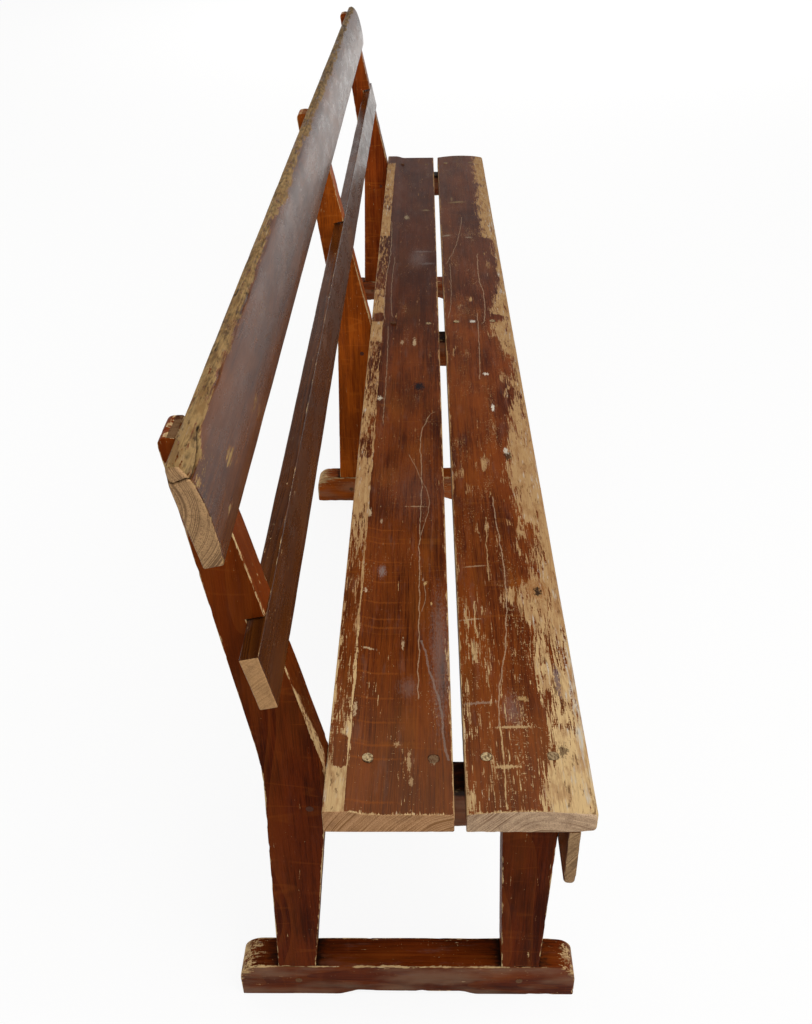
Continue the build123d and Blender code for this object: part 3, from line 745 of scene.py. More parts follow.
def makeRearPlank(look):
    low, high = boxOf("seat_plank_rear")
    size = high - low
    centres, radius = plugHoles("seat_plank_rear")

    def place(p):
        top = size[2] - look["dish"] * ease(p[:, 1], look["band"], look["band"] + look["slopeRun"])
        return np.stack([low[0] + p[:, 0], high[1] - p[:, 1], low[2] + p[:, 2] * top / size[2]], axis=1)

    def bareField(p):
        level = np.interp(p[:, 0], *zip(*look["bandWear"]))
        field = np.where(p[:, 1] < look["band"] - 0.5, level, look["varnish"])
        crest = look["crest"] - 0.9 * np.abs(p[:, 1] - look["band"] + 1) - 1.5 * ease(p[:, 0], 600, 1500)
        crest = np.where(p[:, 0] > 64, crest, -2)
        rearEdge = 0.7 - p[:, 1] / 4
        gapEdge = 0.9 - (size[1] - p[:, 1]) / 1.8
        endEdge = 0.5 - np.minimum(p[:, 0], size[0] - p[:, 0]) / 2.5
        edges = np.where(p[:, 2] > size[2] - 8, np.maximum.reduce([rearEdge, gapEdge, endEdge]), -2)
        return np.clip(np.maximum.reduce([field, crest, edges]), -2, 2)

    lines = plankLines(size, centres, radius, extraWide=[18, 21, 22.5, 23.5, 24.5, 26, 28, 31, 36])
    lengthwiseBoard("rearSeatPlank", "seat_plank_rear", look, lines, place, seatRearWood,
                    bareField, [(centres, radius, plugLook["sunk"])])


frontPlankLook = {
    "crown": 5.5,                      # how far the middle stands above the edges
    "radius": 1.9, "radiusNoise": 0.9, "wave": 0.12, "nick": 2.6, "seed": 21,
    "softer": lambda p: 4.0 * ease(p[:, 1], 118, 136),    # the nose is rubbed rounder than the other arrises
    # width of the bare wood along the nose, from the left end on, and how bare it is
    "noseWear": [(0, 60), (20, 61), (50, 54), (70, 46), (90, 40), (130, 41), (180, 38), (205, 47), (230, 51),
                 (250, 43), (300, 43), (320, 57), (350, 63), (370, 59), (390, 51), (405, 41), (420, 25), (550, 22),
                 (556, 40), (620, 44), (690, 51), (740, 47), (780, 43), (850, 34), (900, 31), (940, 22), (970, 15),
                 (1000, 22), (1045, 20), (1060, 12), (1140, 13), (1160, 26), (1200, 32), (1230, 42), (1285, 43),
                 (1300, 27), (1312, 15), (1330, 15), (1338, 39), (1380, 36), (1450, 24), (1500, 12), (1600, 11),
                 (1820, 13), (1832, 36),
                 (2200, 36), (2225, 25), (2290, 25), (2310, 32), (2600, 30)],
    "noseLevel": [(0, 2.0), (100, 1.7), (125, 0.4), (300, 0.4), (320, 0.8), (400, 0.8), (430, 1.0), (550, 1.0),
                  (570, 1.35), (760, 1.3), (800, 0.7), (1080, 0.8), (1120, 1.2), (1300, 1.3), (1480, 0.9),
                  (1830, 1.3), (2600, 1.4)],
    "varnish": [(0, -1.4), (400, -1.5), (760, -1.7), (1300, -1.85), (2600, -1.95)],   # the rest of the plank
    "fleckNear": 0.4,                  # how much barer the rear half is near the left end
    "islandFade": 0.3,
    # islands of bare wood: from the left end and the seat's rear edge, half length, half width, how bare
    "islands": [(15, 163, 34, 5, 0.5), (38, 184, 50, 8, 0.0), (68, 192, 9, 9, 0.6), (115, 165, 50, 5, 0.2),
                (175, 163, 34, 5, 0.6), (197, 175, 14, 4, 0.5), (258, 173, 20, 7, 1.0), (230, 189, 25, 4, 0.4),
                (320, 167, 34, 7, 0.2), (317, 180, 36, 4, 0.5), (338, 189, 12, 5, 0.9), (150, 205, 20, 5, 0.1),
                (370, 228, 16, 9, 1.0), (356, 215, 22, 6, 0.2), (430, 201, 28, 4, 0.2), (525, 204, 26, 4, 0.3),
                (530, 190, 14, 4, 0.4), (430, 262, 54, 9, 0.5), (520, 258, 44, 9, 0.4), (485, 245, 13, 8, 0.6),
                (525, 250, 8, 6, 0.4), (690, 170, 18, 10, 0.4), (545, 237, 10, 7, 0.7), (640, 182, 34, 8, -0.2),
                (715, 211, 22, 8, 0.7), (705, 196, 16, 5, 0.4), (790, 206, 30, 4, 0.3), (840, 232, 14, 4, 0.3),
                (1140, 195, 10, 12, 0.0), (1415, 213, 20, 8, 0.6), (1435, 206, 14, 4, 0.5), (1150, 172, 30, 5, 0.2),
                (1025, 262, 28, 7, 0.8), (1000, 262, 70, 9, 0.0), (1820, 222, 10, 6, 0.1), (1650, 264, 120, 10, -0.4),
                (205, 186, 60, 12, -0.5), (470, 250, 60, 12, -0.3), (640, 205, 40, 10, -0.5),
                (750, 170, 60, 10, -0.6), (990, 230, 50, 10, -0.5)],
}


def makeFrontPlank(look):
    low, high = boxOf("seat_plank_front")
    size = high - low
    centres, radius = plugHoles("seat_plank_front")
    seatBack = boxOf("seat_plank_rear")[1][1] - high[1]      # from the seat's rear edge to this plank

    def place(p):
        off = (p[:, 1] / size[1] - 0.5) * 2
        top = size[2] - look["crown"] * off * off
        return np.stack([low[0] + p[:, 0], high[1] - p[:, 1], low[2] + p[:, 2] * top / size[2]], axis=1)

    def bareField(p):
        fromNose = size[1] - p[:, 1]
        width = np.interp(p[:, 0], *zip(*look["noseWear"]))
        level = np.interp(p[:, 0], *zip(*look["noseLevel"]))
        field = np.minimum((width - fromNose) / 9, level + 0.6 * ease(8 - fromNose, 0, 8))
        varnish = np.interp(p[:, 0], *zip(*look["varnish"])) + look["fleckNear"] * (1 - ease(p[:, 0], 250, 420)) * (
            1 - ease(p[:, 1], 55, 80))
        field = np.maximum(field, varnish)
        for fromLeft, fromBack, halfLength, halfWidth, most in look["islands"]:
            off = (p[:, 0] - fromLeft) / halfLength, (p[:, 1] + seatBack - fromBack) / halfWidth
            field = np.maximum(field, most - look["islandFade"] - 1.1 * (off[0] ** 2 + off[1] ** 2))
        gapEdge = 0.9 - p[:, 1] / 1.8
        endEdge = 0.6 - np.minimum(p[:, 0], size[0] - p[:, 0]) / 2.5
        edges = np.where(p[:, 2] > size[2] - 8, np.maximum(gapEdge, endEdge), -2)
        return np.clip(np.maximum(field, edges), -2, 2)

    def tone(p):
        # the nose has gone grey in places
        grey = np.clip(0.4 + 0.9 * valueNoise(p, (170, 900, 900), 25), 0, 1)
        most = 0.9 - 0.4 * ease(p[:, 0], 500, 1300) - 0.3 * ease(p[:, 0], 1700, 2300)
        return most * grey * ease(24 - (size[1] - p[:, 1]), 0, 20)

    lines = plankLines(size, centres, radius, extraWide=[8, 12, 16])
    lengthwiseBoard("frontSeatPlank", "seat_plank_front", dict(look, tone=tone), lines, place,
                    seatFrontWood, bareField, [(centres, radius, plugLook["sunk"])])


makeRearPlank(rearPlankLook)
makeFrontPlank(frontPlankLook)
print("stage: seat planks")

rakeLook = {"knee": (86.0, 442.0), "rake": math.radians(12.0)}   # foot of the raked line in Y and Z, and its lean


def onRake(rise, forward):
    # a point up the raked line and in front of it, towards the sitter
    kneeY, kneeZ = rakeLook["knee"]
    lean = rakeLook["rake"]
    y = kneeY + rise * math.sin(lean) - forward * math.cos(lean)
    z = kneeZ + rise * math.cos(lean) + forward * math.sin(lean)
    return y, z


lowerBoardLook = {
    "rise": 156.5, "height": 68.0, "thickness": 20.0,
    "radius": 1.8, "radiusNoise": 0.7, "wave": 0.12, "nick": 1.8, "seed": 31,
}


def makeLowerBoard(look):
    low, high = boxOf("back_board_lower")

    def place(p):
        y, z = onRake(look["rise"] + p[:, 1], p[:, 2] - look["thickness"])
        return np.stack([low[0] + p[:, 0], y, z], axis=1)

    def bareField(p):
        return np.full(len(p), -2.0)

    lines = steps(high[0] - low[0], 5.0), steps(look["height"], 5.0), steps(look["thickness"], 4.0)
    lengthwiseBoard("lowerBackBoard", "back_board_lower", look, lines, place, lowerWood,
                    bareField)


upperBoardLook = {
    "rise": 334.5, "height": 109.5, "behind": 17.0,
    "levels": (0.0, 22.0, 46.0, 70.0, 90.0, 101.0, 109.5),     # up the board
    "thickness": (20.0, 24.2, 25.5, 24.9, 22.5, 19.2, 14.0),   # of the swelled front at those levels
    "radius": 2.6, "radiusNoise": 0.9, "wave": 0.15, "nick": 2.6, "seed": 41,
    "topRound": 6.2,           # how much rounder the top arrises are
    "rawDepth": 8.0, "rawEnd": 11.0,   # how far down the front the top has weathered raw, and how much more near the end
    "groove": 0.7,             # depth of the weathered grain
    "crackDrop": 17.5, "crackFar": 7.0, "crackRun": 90.0,   # how far below the top the crack lies at the end, and past its run
    "crackLength": 420.0, "crackWidth": 1.5, "crackDepth": 4.0,
    # places on the front where the varnish has chipped: from the left end, below the top, half length, half height, level
    "chipped": [(9, 26, 9, 7, 0.5), (104, 58, 20, 7, 0.6), (124, 68, 22, 5, 0.4), (240, 74, 26, 6, 0.5), (250, 88, 20, 4, 0.2),
                (60, 84, 24, 4, 0.0), (330, 40, 16, 5, 0.1)],
}


def makeUpperBoard(look):
    low, high = boxOf("back_board_upper")
    length = high[0] - low[0]
    height = look["height"]
    full = max(look["thickness"])
    fine = np.linspace(0, height, 200)
    kernel = np.hanning(31) / np.hanning(31).sum()
    curve = np.interp(fine, look["levels"], look["thickness"])
    curve = np.convolve(np.pad(curve, 15, mode="reflect", reflect_type="odd"), kernel, mode="valid")

    def place(p):
        forward = p[:, 2] / full * np.interp(p[:, 1], fine, curve) - look["behind"]
        y, z = onRake(look["rise"] + p[:, 1], forward)
        return np.stack([low[0] + p[:, 0], y, z], axis=1)

    def rawness(p):
        # 1 where the top of the board has weathered raw, ragged towards the front
        limit = look["rawDepth"] + 4 * valueNoise(p, (130, 900, 900), 44) + 3 * valueNoise(p, (22, 900, 900), 45)
        limit = limit + look["rawEnd"] * (1 - ease(p[:, 0], 20, 1.3 * look["crackRun"]))
        front = p[:, 2] > 0.6 * full
        drop = height - p[:, 1]
        return np.where(front | (p[:, 1] > height - 1), ease(limit - drop, -5, 5), ease(7 - drop, -4, 4))

    def crackAt(p):
        # 1 along the crack that splits the top of the board from its left end
        wander = look["crackDrop"] + (look["crackFar"] - look["crackDrop"]) * ease(p[:, 0], 0, look["crackRun"])
        wander = wander + 1.6 * valueNoise(p, (34, 900, 900), 48) + 1.2 * valueNoise(p, (900, 900, 7), 50)
        crack = np.clip(1 - np.abs(height - p[:, 1] - wander) / look["crackWidth"], 0, 1)
        fade = np.clip(1.1 - p[:, 0] / look["crackLength"] + 0.5 * valueNoise(p, (60, 900, 900), 49), 0, 1)
        return crack * fade * ((p[:, 2] > 0.6 * full) | (p[:, 0] < 1))

    def groovesAt(p):
        grooves = valueNoise(p, (55, 1.5, 1.7), 46) + 0.6 * valueNoise(p, (24, 0.9, 1.1), 47)
        return np.clip(grooves + 0.3, 0, 1.4) * rawness(p)

    def carve(p):
        return look["groove"] * groovesAt(p) + look["crackDepth"] * crackAt(p)

    def tone(p):
        # painted shadow along the crack; dirt in the weathered grooves and on the raw top
        raw = (0.16 + 0.14 * ease(p[:, 0], 60, 300) + 0.16 * ease(p[:, 0], 700, 1800)) * rawness(p)
        return -1.0 * crackAt(p) - (0.2 * groovesAt(p) + raw) * (p[:, 0] > 1)

    def bareField(p):
        field = 2.7 * rawness(p) - 1.9
        for fromLeft, drop, halfLength, halfHeight, most in look["chipped"]:
            off = (p[:, 0] - fromLeft) / halfLength, (height - p[:, 1] - drop) / halfHeight
            field = np.where(p[:, 2] > 0.6 * full, np.maximum(field, most - 1.2 * (off[0] ** 2 + off[1] ** 2)), field)
        return np.clip(field, -2, 1.25)

    def softer(p):
        return look["topRound"] * ease(p[:, 1], height - 22, height - 7)

    shape = dict(look, carve=carve, tone=tone, softer=softer)
    dense = list(np.arange(height - 24, height - 6.5, 0.9))
    lines = steps(length, 4.6), steps(height, 5.4, dense), steps(full, 1.8)
    lengthwiseBoard("upperBackBoard", "back_board_upper", shape, lines, place, upperWood,
                    bareField)


apronLook = {
    "radius": 1.6, "radiusNoise": 0.5, "wave": 0.1, "nick": 1.4, "seed": 51,
    "softer": lambda p: 3.2 * (1 - ease(p[:, 1], 8, 16)),   # the bottom edge is rounded over
}


def makeApron(look):
    low, high = boxOf("apron")
    size = high - low

    def place(p):
        return np.stack([low[0] + p[:, 0], high[1] - p[:, 2], low[2] + p[:, 1]], axis=1)

    def bareField(p):
        return np.clip(0.2 - p[:, 1] / 4, -2, 1)

    lines = steps(size[0], 5.0), steps(size[2], 5.0), steps(size[1], 3.4)
    lengthwiseBoard("frontApron", "apron", look, lines, place, apronWood, bareField)


makeLowerBoard(lowerBoardLook)
makeUpperBoard(upperBoardLook)
makeApron(apronLook)
print("stage: back boards and apron")


def frameMember(name, node, look, pairs, lines, material, bareField, holes=()):
    # pairs gives, for places along the member, the two outline points that its width runs between
    along, wide, thick = lines
    points, quads, ends = latticeSurface(along, wide, thick)
    low, high = boxOf(node)

    def widthAt(u):
        first, second = pairs(u)
        return np.maximum(np.hypot(second[0] - first[0], second[1] - first[1]), 1e-6)

    width = widthAt(points[:, 0])
    rim = np.minimum(edgeLines[-1], 0.35 * width)
    v = points[:, 1]
    fromRear = wide[-1] - v
    inner = rim + (v - edgeLines[-1]) / (wide[-1] - 2 * edgeLines[-1]) * (width - 2 * rim)
    scaled = rim / edgeLines[-1]
    v = np.where(v < edgeLines[-1], v * scaled, np.where(fromRear < edgeLines[-1], width - fromRear * scaled, inner))
    block = np.stack([points[:, 0], v, points[:, 2]], axis=1)
    size = np.stack([np.full(len(v), along[-1]), width, np.full(len(v), thick[-1])], axis=1)
    edge = arrisDistance(block, size)
    seed = look["seed"] + int(low[0] + 3000) % 97
    radius = np.clip(look["radius"] + look["radiusNoise"] * valueNoise(block, 45, seed), 0.5, 0.3 * width)
    nicks = np.clip(valueNoise(block, (12, 8, 8), seed + 1) - 0.3, 0, 1) * np.clip(1 - edge / 5, 0, 1)
    dent = look["wave"] * (1 + valueNoise(block, (110, 40, 40), seed + 2)) + look["nick"] * nicks
    shaped = roundedBlock(block, size, radius, dent)
    for centres, holeRadius, depth in holes:
        shaped = sinkHoles(shaped, points[:, 1] == wide[-1], (0, 2, 1), centres, holeRadius, depth)
    first, second = pairs(shaped[:, 0])
    share = shaped[:, 1] / widthAt(shaped[:, 0])
    y = first[0] + (second[0] - first[0]) * share
    z = first[1] + (second[1] - first[1]) * share
    placed = np.stack([low[0] + shaped[:, 2], y, z], axis=1)
    fields = {"edgeMm": edge, "bare": bareField(block, size)}
    if "tone" in look:
        fields["tone"] = look["tone"](block, size)
    return meshPiece(name, placed, quads, ends, fields, material, node)


def softRamp(value, reach):
    # 0 below, value above, with a soft bend between
    return np.where(value < -reach, 0, np.where(value > reach, value, (value + reach) ** 2 / (4 * reach)))


footLook = {
    "endRound": 27.0, "relief": 190.0, "reliefRun": 27.0, "reliefHeight": 7.5,
    "radius": 2.6, "radiusNoise": 1.2, "wave": 0.15, "nick": 3.0, "seed": 60,
    "shadeAndDirt": 1.0, "shadeAndDirtReach": 12.0,     # painted shade, with dirt, on top beside the leg and the upright
    "endWear": {"left": -0.2, "middle": 0.3, "right": 0.0},     # how bare the ends' tops are
    "rearWear": 0.5,                      # how much barer the rear one is
}


def makeFoot(side, look):
    node = "foot_" + side
    low, high = boxOf(node)
    length, height = high[1] - low[1], high[2]

    def pairs(u):
        fromEnd = np.clip(np.minimum(u, length - u), 0, look["endRound"])
        top = height - look["endRound"] + np.sqrt(look["endRound"] ** 2 - (look["endRound"] - fromEnd) ** 2)
        fromMiddle = np.abs(u - length / 2)
        bottom = look["reliefHeight"] * ease(look["relief"] / 2 - fromMiddle, 0, look["reliefRun"])
        return (low[1] + u, bottom), (low[1] + u, top)

    def bareField(block, size):
        fromEnd = np.minimum(block[:, 0], length - block[:, 0])
        worn = look["endWear"][side] + look["rearWear"] * (block[:, 0] > length / 2)
        topCorner = worn - np.maximum(fromEnd - 12, 0) / 14 - (size[:, 1] - block[:, 1]) / 12
        return np.clip(topCorner, -1.9, 1)

    def tone(block, size):
        # painted shade, with dirt, darkens the top against the leg and the upright
        spans = [(legLook["footY"][0] - low[1], legLook["footY"][1] - low[1]),
                 (uprightLook["footFront"] - low[1], uprightLook["footRear"] - low[1])]
        gap = np.minimum.reduce([np.maximum(first - block[:, 0], block[:, 0] - last) for first, last in spans])
        onTop = (block[:, 1] > size[:, 1] - 1) & (block[:, 2] > 1.5) & (block[:, 2] < size[:, 2] - 1.5)
        return -look["shadeAndDirt"] * np.exp(-np.maximum(gap, 0) / look["shadeAndDirtReach"]) * onTop

    look = dict(look, tone=tone)
    lines = steps(length, 4.5), steps(height, 5.0), steps(high[0] - low[0], 5.0)
    frameMember("foot" + side.capitalize(), node, look, pairs, lines, frameWood[side, "Y"], bareField)


legLook = {
    "footY": (-174.0, -124.0), "topY": (-181.0, -115.0), "topZ": 346.0,
    "radius": 1.7, "radiusNoise": 0.8, "wave": 0.12, "nick": 2.0, "seed": 70,
}


def wholeVarnish(block, size):
    return np.full(len(block), -2.0)


def makeLeg(side, look):
    node = "front_leg_" + side
    low, high = boxOf(node)
    bottom = boxOf("foot_" + side)[1][2]
    length = look["topZ"] - bottom

    def pairs(u):
        share = u / length
        front = look["footY"][0] + (look["topY"][0] - look["footY"][0]) * share
        rear = look["footY"][1] + (look["topY"][1] - look["footY"][1]) * share
        return (front, bottom + u), (rear, bottom + u)

    lines = steps(length, 5.0), steps(60, 5.0), steps(high[0] - low[0], 5.0)
    frameMember("frontLeg" + side.capitalize(), node, look, pairs, lines, frameWood[side, "Z"], wholeVarnish)


bearerLook = {"radius": 1.2, "radiusNoise": 0.5, "wave": 0.1, "nick": 1.0, "seed": 80}


def makeBearer(side, look):
    node = "bearer_" + side
    low, high = boxOf(node)
    kneeY = rakeLook["knee"][0]
    bottom = legLook["topZ"]
    lowerY = uprightFront(bottom)

    def pairs(u):
        share = u / (kneeY - low[1])
        lowY = low[1] + (lowerY - low[1]) * share
        topY = low[1] + (kneeY - low[1]) * share
        return (lowY, np.full_like(u, bottom)), (topY, np.full_like(u, high[2]))

    def tone(block, size):
        return -0.9 * (block[:, 1] > size[:, 1] - 8)     # painted shade, with dirt: black near the top, under the seat planks

    look = dict(look, tone=tone)
    lines = steps(kneeY - low[1], 6.0), steps(high[2] - bottom, 6.0), steps(high[0] - low[0], 6.0)
    frameMember("bearer" + side.capitalize(), node, look, pairs, lines, frameWood[side, "Y"], wholeVarnish)


uprightLook = {
    "footFront": 120.5, "footRear": 170.5, "kneeRear": 157.0, "kneeReach": 37.0, "topRear": 213.2,
    "seatLevel": 408.0, "topRound": 10.0,
    "notches": [(156.5, 227.5, 20.0), (334.5, 1000.0, 17.0)],   # from, to up the rake, and depth
    "screwRises": (173.5, 207.5, 362.5, 416.0), "boreRadius": 4.35, "boreDepth": 5.0,
    "radius": 1.8, "radiusNoise": 0.9, "wave": 0.14, "nick": 2.6, "seed": 90,
}


def uprightFront(z):
    # front line between the foot and the seat
    footTop = boxOf("foot_left")[1][2]
    share = np.clip((z - footTop) / (uprightLook["seatLevel"] - footTop), 0, 1)
    return uprightLook["footFront"] + (rakeLook["knee"][0] - uprightLook["footFront"]) * share


def makeUpright(side, look):
    node = "rear_upright_" + side
    low, high = boxOf(node)
    footTop = boxOf("foot_" + side)[1][2]
    kneeY, kneeZ = rakeLook["knee"]
    lean = rakeLook["rake"]
    kneeAt = kneeZ - footTop
    topRise = (high[2] - kneeZ + look["notches"][-1][2] * math.sin(lean)) / math.cos(lean)
    length = kneeAt + topRise
    lowSlope = (look["kneeRear"] - look["footRear"]) / (kneeZ - footTop)
    highSlope = (look["topRear"] - look["kneeRear"]) / (high[2] - kneeZ)

    def rearY(z):
        bend = softRamp(z - kneeZ, look["kneeReach"])
        return look["kneeRear"] + lowSlope * (z - kneeZ) + (highSlope - lowSlope) * bend

    def pairs(u):
        rise = u - kneeAt
        tilt = lean * np.clip(u / (look["seatLevel"] - footTop), 0, 1)
        depth = np.zeros_like(u)
        for start, stop, deep in look["notches"]:
            depth = np.where((rise > start) & (rise < stop), deep, depth)
        tilt = np.where(rise > look["notches"][-1][0], lean * (1 - ease(rise, topRise - 70, topRise)), tilt)
        baseY = np.where(rise > 0, kneeY + rise * math.sin(lean), uprightFront(footTop + u))
        baseZ = np.where(rise > 0, kneeZ + rise * math.cos(lean), footTop + u)
        frontY = baseY + depth * math.cos(lean)
        frontZ = baseZ - depth * math.sin(lean)
        reach = rearY(frontZ) - frontY
        for _ in range(4):
            reach = (rearY(frontZ - reach * np.sin(tilt)) - frontY) / np.cos(tilt)
        fromTop = np.clip(length - u, 0, look["topRound"])
        reach = reach - (look["topRound"] - np.sqrt(look["topRound"] ** 2 - (look["topRound"] - fromTop) ** 2))
        return (frontY, frontZ), (frontY + reach * np.cos(tilt), frontZ - reach * np.sin(tilt))

    def bareField(block, size):
        # the front arris above the seat is rubbed bare, widening downwards
        rise = block[:, 0] - kneeAt
        above = ease(rise, 4, 10) * (1 - ease(rise, 120, 156))
        width = above * (4 + 14 * np.clip(1 - rise / 120, 0, 1))
        field = np.where(block[:, 1] < 1.5, (width - block[:, 2]) / 4, -2)
        return np.clip(field, -2, 0.8)

    shoulders = []
    for start, stop, deep in look["notches"]:
        for rise in (start, stop):
            if rise < topRise:
                shoulders += [kneeAt + rise - 0.06, kneeAt + rise + 0.06]
    bores = [(kneeAt + rise, (high[0] - low[0]) / 2) for rise in look["screwRises"]]
    boreLines = sum([holeLines(bore[0], look["boreRadius"]) for bore in bores], [])
    boreLines = [line for line in boreLines if min(abs(line - other) for other in shoulders) > 0.5]
    middleLines = holeLines(bores[0][1], look["boreRadius"])
    lines = steps(length, 5.0, boreLines + shoulders), steps(56, 5.0), steps(high[0] - low[0], 5.0, middleLines)
    frameMember("rearUpright" + side.capitalize(), node, look, pairs, lines, frameWood[side, "Z"], bareField,
                [(bores, look["boreRadius"], look["boreDepth"])])


for side in frameNames:
    makeFoot(side, footLook)
    makeLeg(side, legLook)
    makeUpright(side, uprightLook)
    makeBearer(side, bearerLook)
print("stage: trestle frames")


def smallPartFinish(name, colour, spots, scale, roughness, metallic=0.0, strength=0.5, stain="#4a2210"):
    # a base colour that breaks up into a second one, with a little relief, more or less covered by old stain
    material = bpy.data.materials.new(name)
    material.use_nodes = True
    tree = material.node_tree
    tree.nodes.clear()
    place = addNode(tree, "ShaderNodeTexCoord")
    grain = addNode(tree, "ShaderNodeTexNoise", {"Vector": place.outputs["Object"], "Scale": 1000 / scale,
                                                 "Detail": 4.0, "Roughness": 0.7})
    share = addNode(tree, "ShaderNodeMapRange", {0: grain, 1: 0.42, 2: 0.62, 4: strength},
                    interpolation_type="SMOOTHSTEP")
    mixed = addNode(tree, "ShaderNodeMix", {0: share, 6: linear(colour), 7: linear(spots)}, data_type="RGBA")
    stained = addNode(tree, "ShaderNodeAttribute", attribute_name="stained")
    mixed = addNode(tree, "ShaderNodeMix", {0: stained.outputs["Fac"], 6: mixed.outputs[2], 7: linear(stain)},
                    data_type="RGBA")
    rough = addNode(tree, "ShaderNodeMapRange", {0: grain, 3: roughness - 0.12, 4: roughness + 0.12})
    bump = addNode(tree, "ShaderNodeBump", {"Height": grain, "Distance": 0.0006, "Strength": 0.7})
    shader = addNode(tree, "ShaderNodeBsdfPrincipled", {
        "Base Color": mixed.outputs[2], "Roughness": rough, "Metallic": metallic, "Specular IOR Level": 0.15,
        "Normal": bump})
    addNode(tree, "ShaderNodeOutputMaterial", {"Surface": shader})
    return material


putty = smallPartFinish("crackedWoodPutty", "#c4ab80", "#5d452b", 3.0, 0.75, strength=0.95)   # dry filler: matt
pegEnd = smallPartFinish("stainedPegEndGrain", "#5a381f", "#a37c4c", 1.6, 0.6)        # end grain: darker, dull
oldSteel = smallPartFinish("brownedSteelScrew", "#54493f", "#2c2019", 2.5, 0.5, 1.0)  # dull steel, rust-browned


def newTree(name):
    tree = bpy.data.node_groups.new(name, "GeometryNodeTree")
    inputs = [("Geometry", "Geometry"), ("Radius", "Float"), ("Depth", "Float"), ("Roughness", "Float"),
              ("Turn", "Vector"), ("Spin", "Float"), ("Seed", "Float"), ("Material", "Material")]
    for label, kind in inputs:
        tree.interface.new_socket(label, in_out="INPUT", socket_type="NodeSocket" + kind)
    tree.interface.new_socket("Geometry", in_out="OUTPUT", socket_type="NodeSocketGeometry")
    return tree, addNode(tree, "NodeGroupInput")


def endTree(tree, shape, source):
    # puts the shape on every point, roughens it and gives it its material
    def add(kind, inputs=None, **settings):
        return addNode(tree, kind, inputs, **settings)

    spin = add("ShaderNodeCombineXYZ", {"Z": source.outputs["Spin"]})
    spun = add("GeometryNodeTransform", {"Geometry": shape,
                                         "Rotation": add("FunctionNodeEulerToRotation", {0: spin})})
    turn = add("FunctionNodeEulerToRotation", {0: source.outputs["Turn"]})
    placed = add("GeometryNodeInstanceOnPoints", {"Points": source.outputs["Geometry"], "Instance": spun,
                                                  "Rotation": turn})
    solid = add("GeometryNodeRealizeInstances", {"Geometry": placed})
    grain = add("ShaderNodeTexNoise", {"Vector": add("GeometryNodeInputPosition"), "Scale": 420.0, "Detail": 2.0,
                                       "W": source.outputs["Seed"]}, noise_dimensions="4D")
    push = add("ShaderNodeVectorMath", {0: grain.outputs["Color"], 1: (0.5, 0.5, 0.5)}, operation="SUBTRACT")
    push = add("ShaderNodeVectorMath", {0: push, "Scale": source.outputs["Roughness"]}, operation="SCALE")
    moved = add("GeometryNodeSetPosition", {"Geometry": solid, "Offset": push})
    dressed = add("GeometryNodeSetMaterial", {"Geometry": moved, "Material": source.outputs["Material"]})
    add("NodeGroupOutput", {"Geometry": dressed})
    return tree


def barTree():
    # short round bar whose middle lies on the point, for plugs and pegs
    tree, source = newTree("roundBar")
    bar = addNode(tree, "GeometryNodeMeshCylinder", {
        "Vertices": 20, "Side Segments": 3, "Fill Segments": 3, "Radius": source.outputs["Radius"],
        "Depth": source.outputs["Depth"]})
    return endTree(tree, bar, source)


def screwTree():
    # slotted countersunk screw; its flat top lies on the point and its shank runs down
    tree, source = newTree("slottedScrew")

    def add(kind, inputs=None, **settings):
        return addNode(tree, kind, inputs, **settings)

    half = add("ShaderNodeMath", {0: source.outputs["Radius"], 1: 0.5}, operation="MULTIPLY")
    head = add("GeometryNodeMeshCone", {"Vertices": 20, "Radius Top": source.outputs["Radius"],
                                        "Radius Bottom": half, "Depth": half})
    drop = add("ShaderNodeMath", {0: half, 1: -1.0}, operation="MULTIPLY")
    head = add("GeometryNodeTransform", {"Geometry": head, "Translation": add("ShaderNodeCombineXYZ", {"Z": drop})})
    shank = add("GeometryNodeMeshCylinder", {"Vertices": 12, "Radius": half, "Depth": source.outputs["Depth"]})
    down = add("ShaderNodeMath", {0: source.outputs["Depth"], 1: -0.52}, operation="MULTIPLY")
    shank = add("GeometryNodeTransform", {"Geometry": shank, "Translation": add("ShaderNodeCombineXYZ", {"Z": down})})
    both = add("GeometryNodeMeshBoolean", {"Mesh 2": head}, operation="UNION")
    tree.links.new(shank.outputs[0], both.inputs["Mesh 2"])
    wide = add("ShaderNodeMath", {0: source.outputs["Radius"], 1: 3.0}, operation="MULTIPLY")
    slot = add("GeometryNodeMeshCube", {"Size": add("ShaderNodeCombineXYZ", {"X": wide, "Y": 0.0012, "Z": 0.002})})
    cut = add("GeometryNodeMeshBoolean", {"Mesh 1": both, "Mesh 2": slot}, operation="DIFFERENCE")
    cut = add("GeometryNodeTriangulate", {"Mesh": cut})     # so that neighbouring faces still match once roughened
    return endTree(tree, cut, source)


def repeatedPiece(name, tree, places, values, node, stained=0.0):
    # one mesh with the tree's shape at every place; places in millimetres
    mesh = bpy.data.meshes.new(name + "Points")
    mesh.from_pydata([tuple(np.array(place) * 0.001) for place in places], [], [])
    layer = mesh.attributes.new("stained", "FLOAT", "POINT")
    layer.data.foreach_set("value", np.broadcast_to(stained, len(places)).astype(np.float32))
    holder = bpy.data.objects.new(name + "Points", mesh)
    bpy.context.scene.collection.objects.link(holder)
    modifier = holder.modifiers.new("shape", "NODES")
    modifier.node_group = tree
    for item in tree.interface.items_tree:
        if item.in_out == "INPUT" and item.name in values:
            modifier[item.identifier] = values[item.name]
    graph = bpy.context.evaluated_depsgraph_get()
    solid = bpy.data.meshes.new_from_object(holder.evaluated_get(graph))
    bpy.data.objects.remove(holder)
    solid.name = name
    solid.set_sharp_from_angle(angle=math.radians(35))
    piece = bpy.data.objects.new(name, solid)
    bpy.context.scene.collection.objects.link(piece)
    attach(piece, "root")
    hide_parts(node)
    return piece


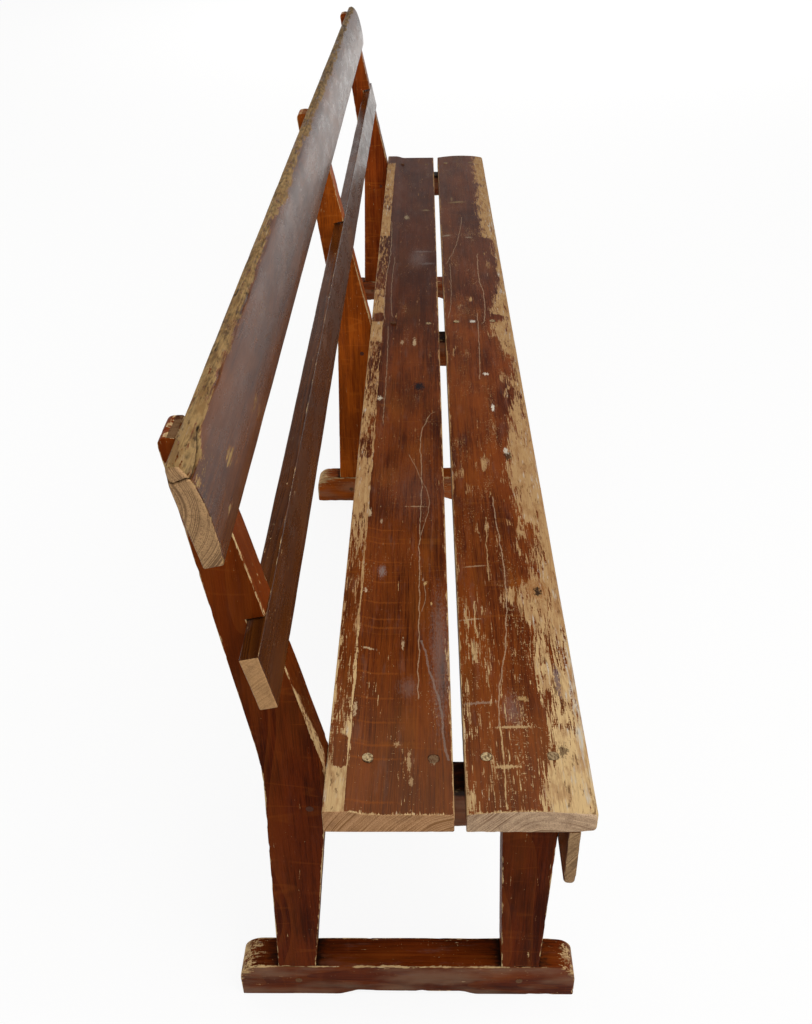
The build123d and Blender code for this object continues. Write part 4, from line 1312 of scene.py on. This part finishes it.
fastenerLook = {
    "pegProud": 0.25, "plugRoughness": 0.0009, "pegRoughness": 0.0003, "screwRoughness": 0.0001,
    "headRadius": 4.2, "boardShank": 0.03, "apronShank": 0.036,
    "pegStain": (0.35, 0.95), "pegHigh": 200.0,    # stain over the pegs of the feet and of the bearers
    # how far stain has covered the plugs, from the seat's front to its rear
    "plugStain": {"left": (0.45, 0.0, 0.8, 0.1), "middle": (0.35, 0.1, 0.4, 0.9), "right": (0.5, 0.4, 0.6, 0.9)},
}


def makePlugs(side, seed, bar, look):
    boxes = islandBoxes("screw_plugs_" + side)
    drop = plugLook["below"] + plugLook["depth"] / 2
    places = [((low[0] + high[0]) / 2, (low[1] + high[1]) / 2, high[2] - drop) for low, high in boxes]
    radius = (boxes[0][1][0] - boxes[0][0][0]) / 2 + plugLook["play"]
    values = {"Radius": radius * 0.001, "Depth": plugLook["depth"] * 0.001, "Roughness": look["plugRoughness"],
              "Seed": seed * 3.1, "Material": putty}
    repeatedPiece("puttyPlugs" + side.capitalize(), bar, places, values, "screw_plugs_" + side,
                  look["plugStain"][side])


def makePegs(side, seed, bar, look):
    boxes = islandBoxes("tenon_pegs_" + side)
    low, high = boxes[0]
    values = {"Radius": (high[1] - low[1]) * 0.0005, "Depth": (high[0] - low[0] + 2 * look["pegProud"]) * 0.001,
              "Roughness": look["pegRoughness"], "Turn": (0, math.pi / 2, 0), "Seed": seed * 2.3,
              "Material": pegEnd}
    places = [(low + high) / 2 for low, high in boxes]
    stained = [look["pegStain"][place[2] > look["pegHigh"]] for place in places]
    repeatedPiece("tenonPegs" + side.capitalize(), bar, places, values, "tenon_pegs_" + side, stained)


def makeBoardScrews(side, seed, screw, look):
    lean = rakeLook["rake"]
    radius = look["headRadius"]
    places = [((low[0] + high[0]) / 2, high[1] - radius * math.sin(lean), low[2] + radius * math.cos(lean))
              for low, high in islandBoxes("board_screws_" + side)]
    values = {"Radius": radius * 0.001, "Depth": look["boardShank"], "Roughness": look["screwRoughness"],
              "Turn": (-math.pi / 2 - lean, 0, 0), "Spin": 0.5 + 1.1 * seed, "Seed": seed * 1.7,
              "Material": oldSteel}
    repeatedPiece("boardScrews" + side.capitalize(), screw, places, values, "board_screws_" + side)


def makeApronScrews(side, seed, screw, look):
    places = [((low[0] + high[0]) / 2, low[1], (low[2] + high[2]) / 2)
              for low, high in islandBoxes("apron_screws_" + side)]
    values = {"Radius": look["headRadius"] * 0.001, "Depth": look["apronShank"],
              "Roughness": look["screwRoughness"], "Turn": (math.pi / 2, 0, 0), "Spin": 0.9 + 0.8 * seed,
              "Seed": seed * 1.9, "Material": oldSteel}
    repeatedPiece("apronScrews" + side.capitalize(), screw, places, values, "apron_screws_" + side)


bar = barTree()
screw = screwTree()
for seed, side in enumerate(frameNames):
    makePlugs(side, seed, bar, fastenerLook)
    makePegs(side, seed, bar, fastenerLook)
    makeBoardScrews(side, seed, screw, fastenerLook)
    makeApronScrews(side, seed, screw, fastenerLook)
    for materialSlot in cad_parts["seat_screws_" + side].material_slots:
        materialSlot.material = oldSteel     # the screws under the putty stay as they are
print("stage: plugs, pegs and screws")
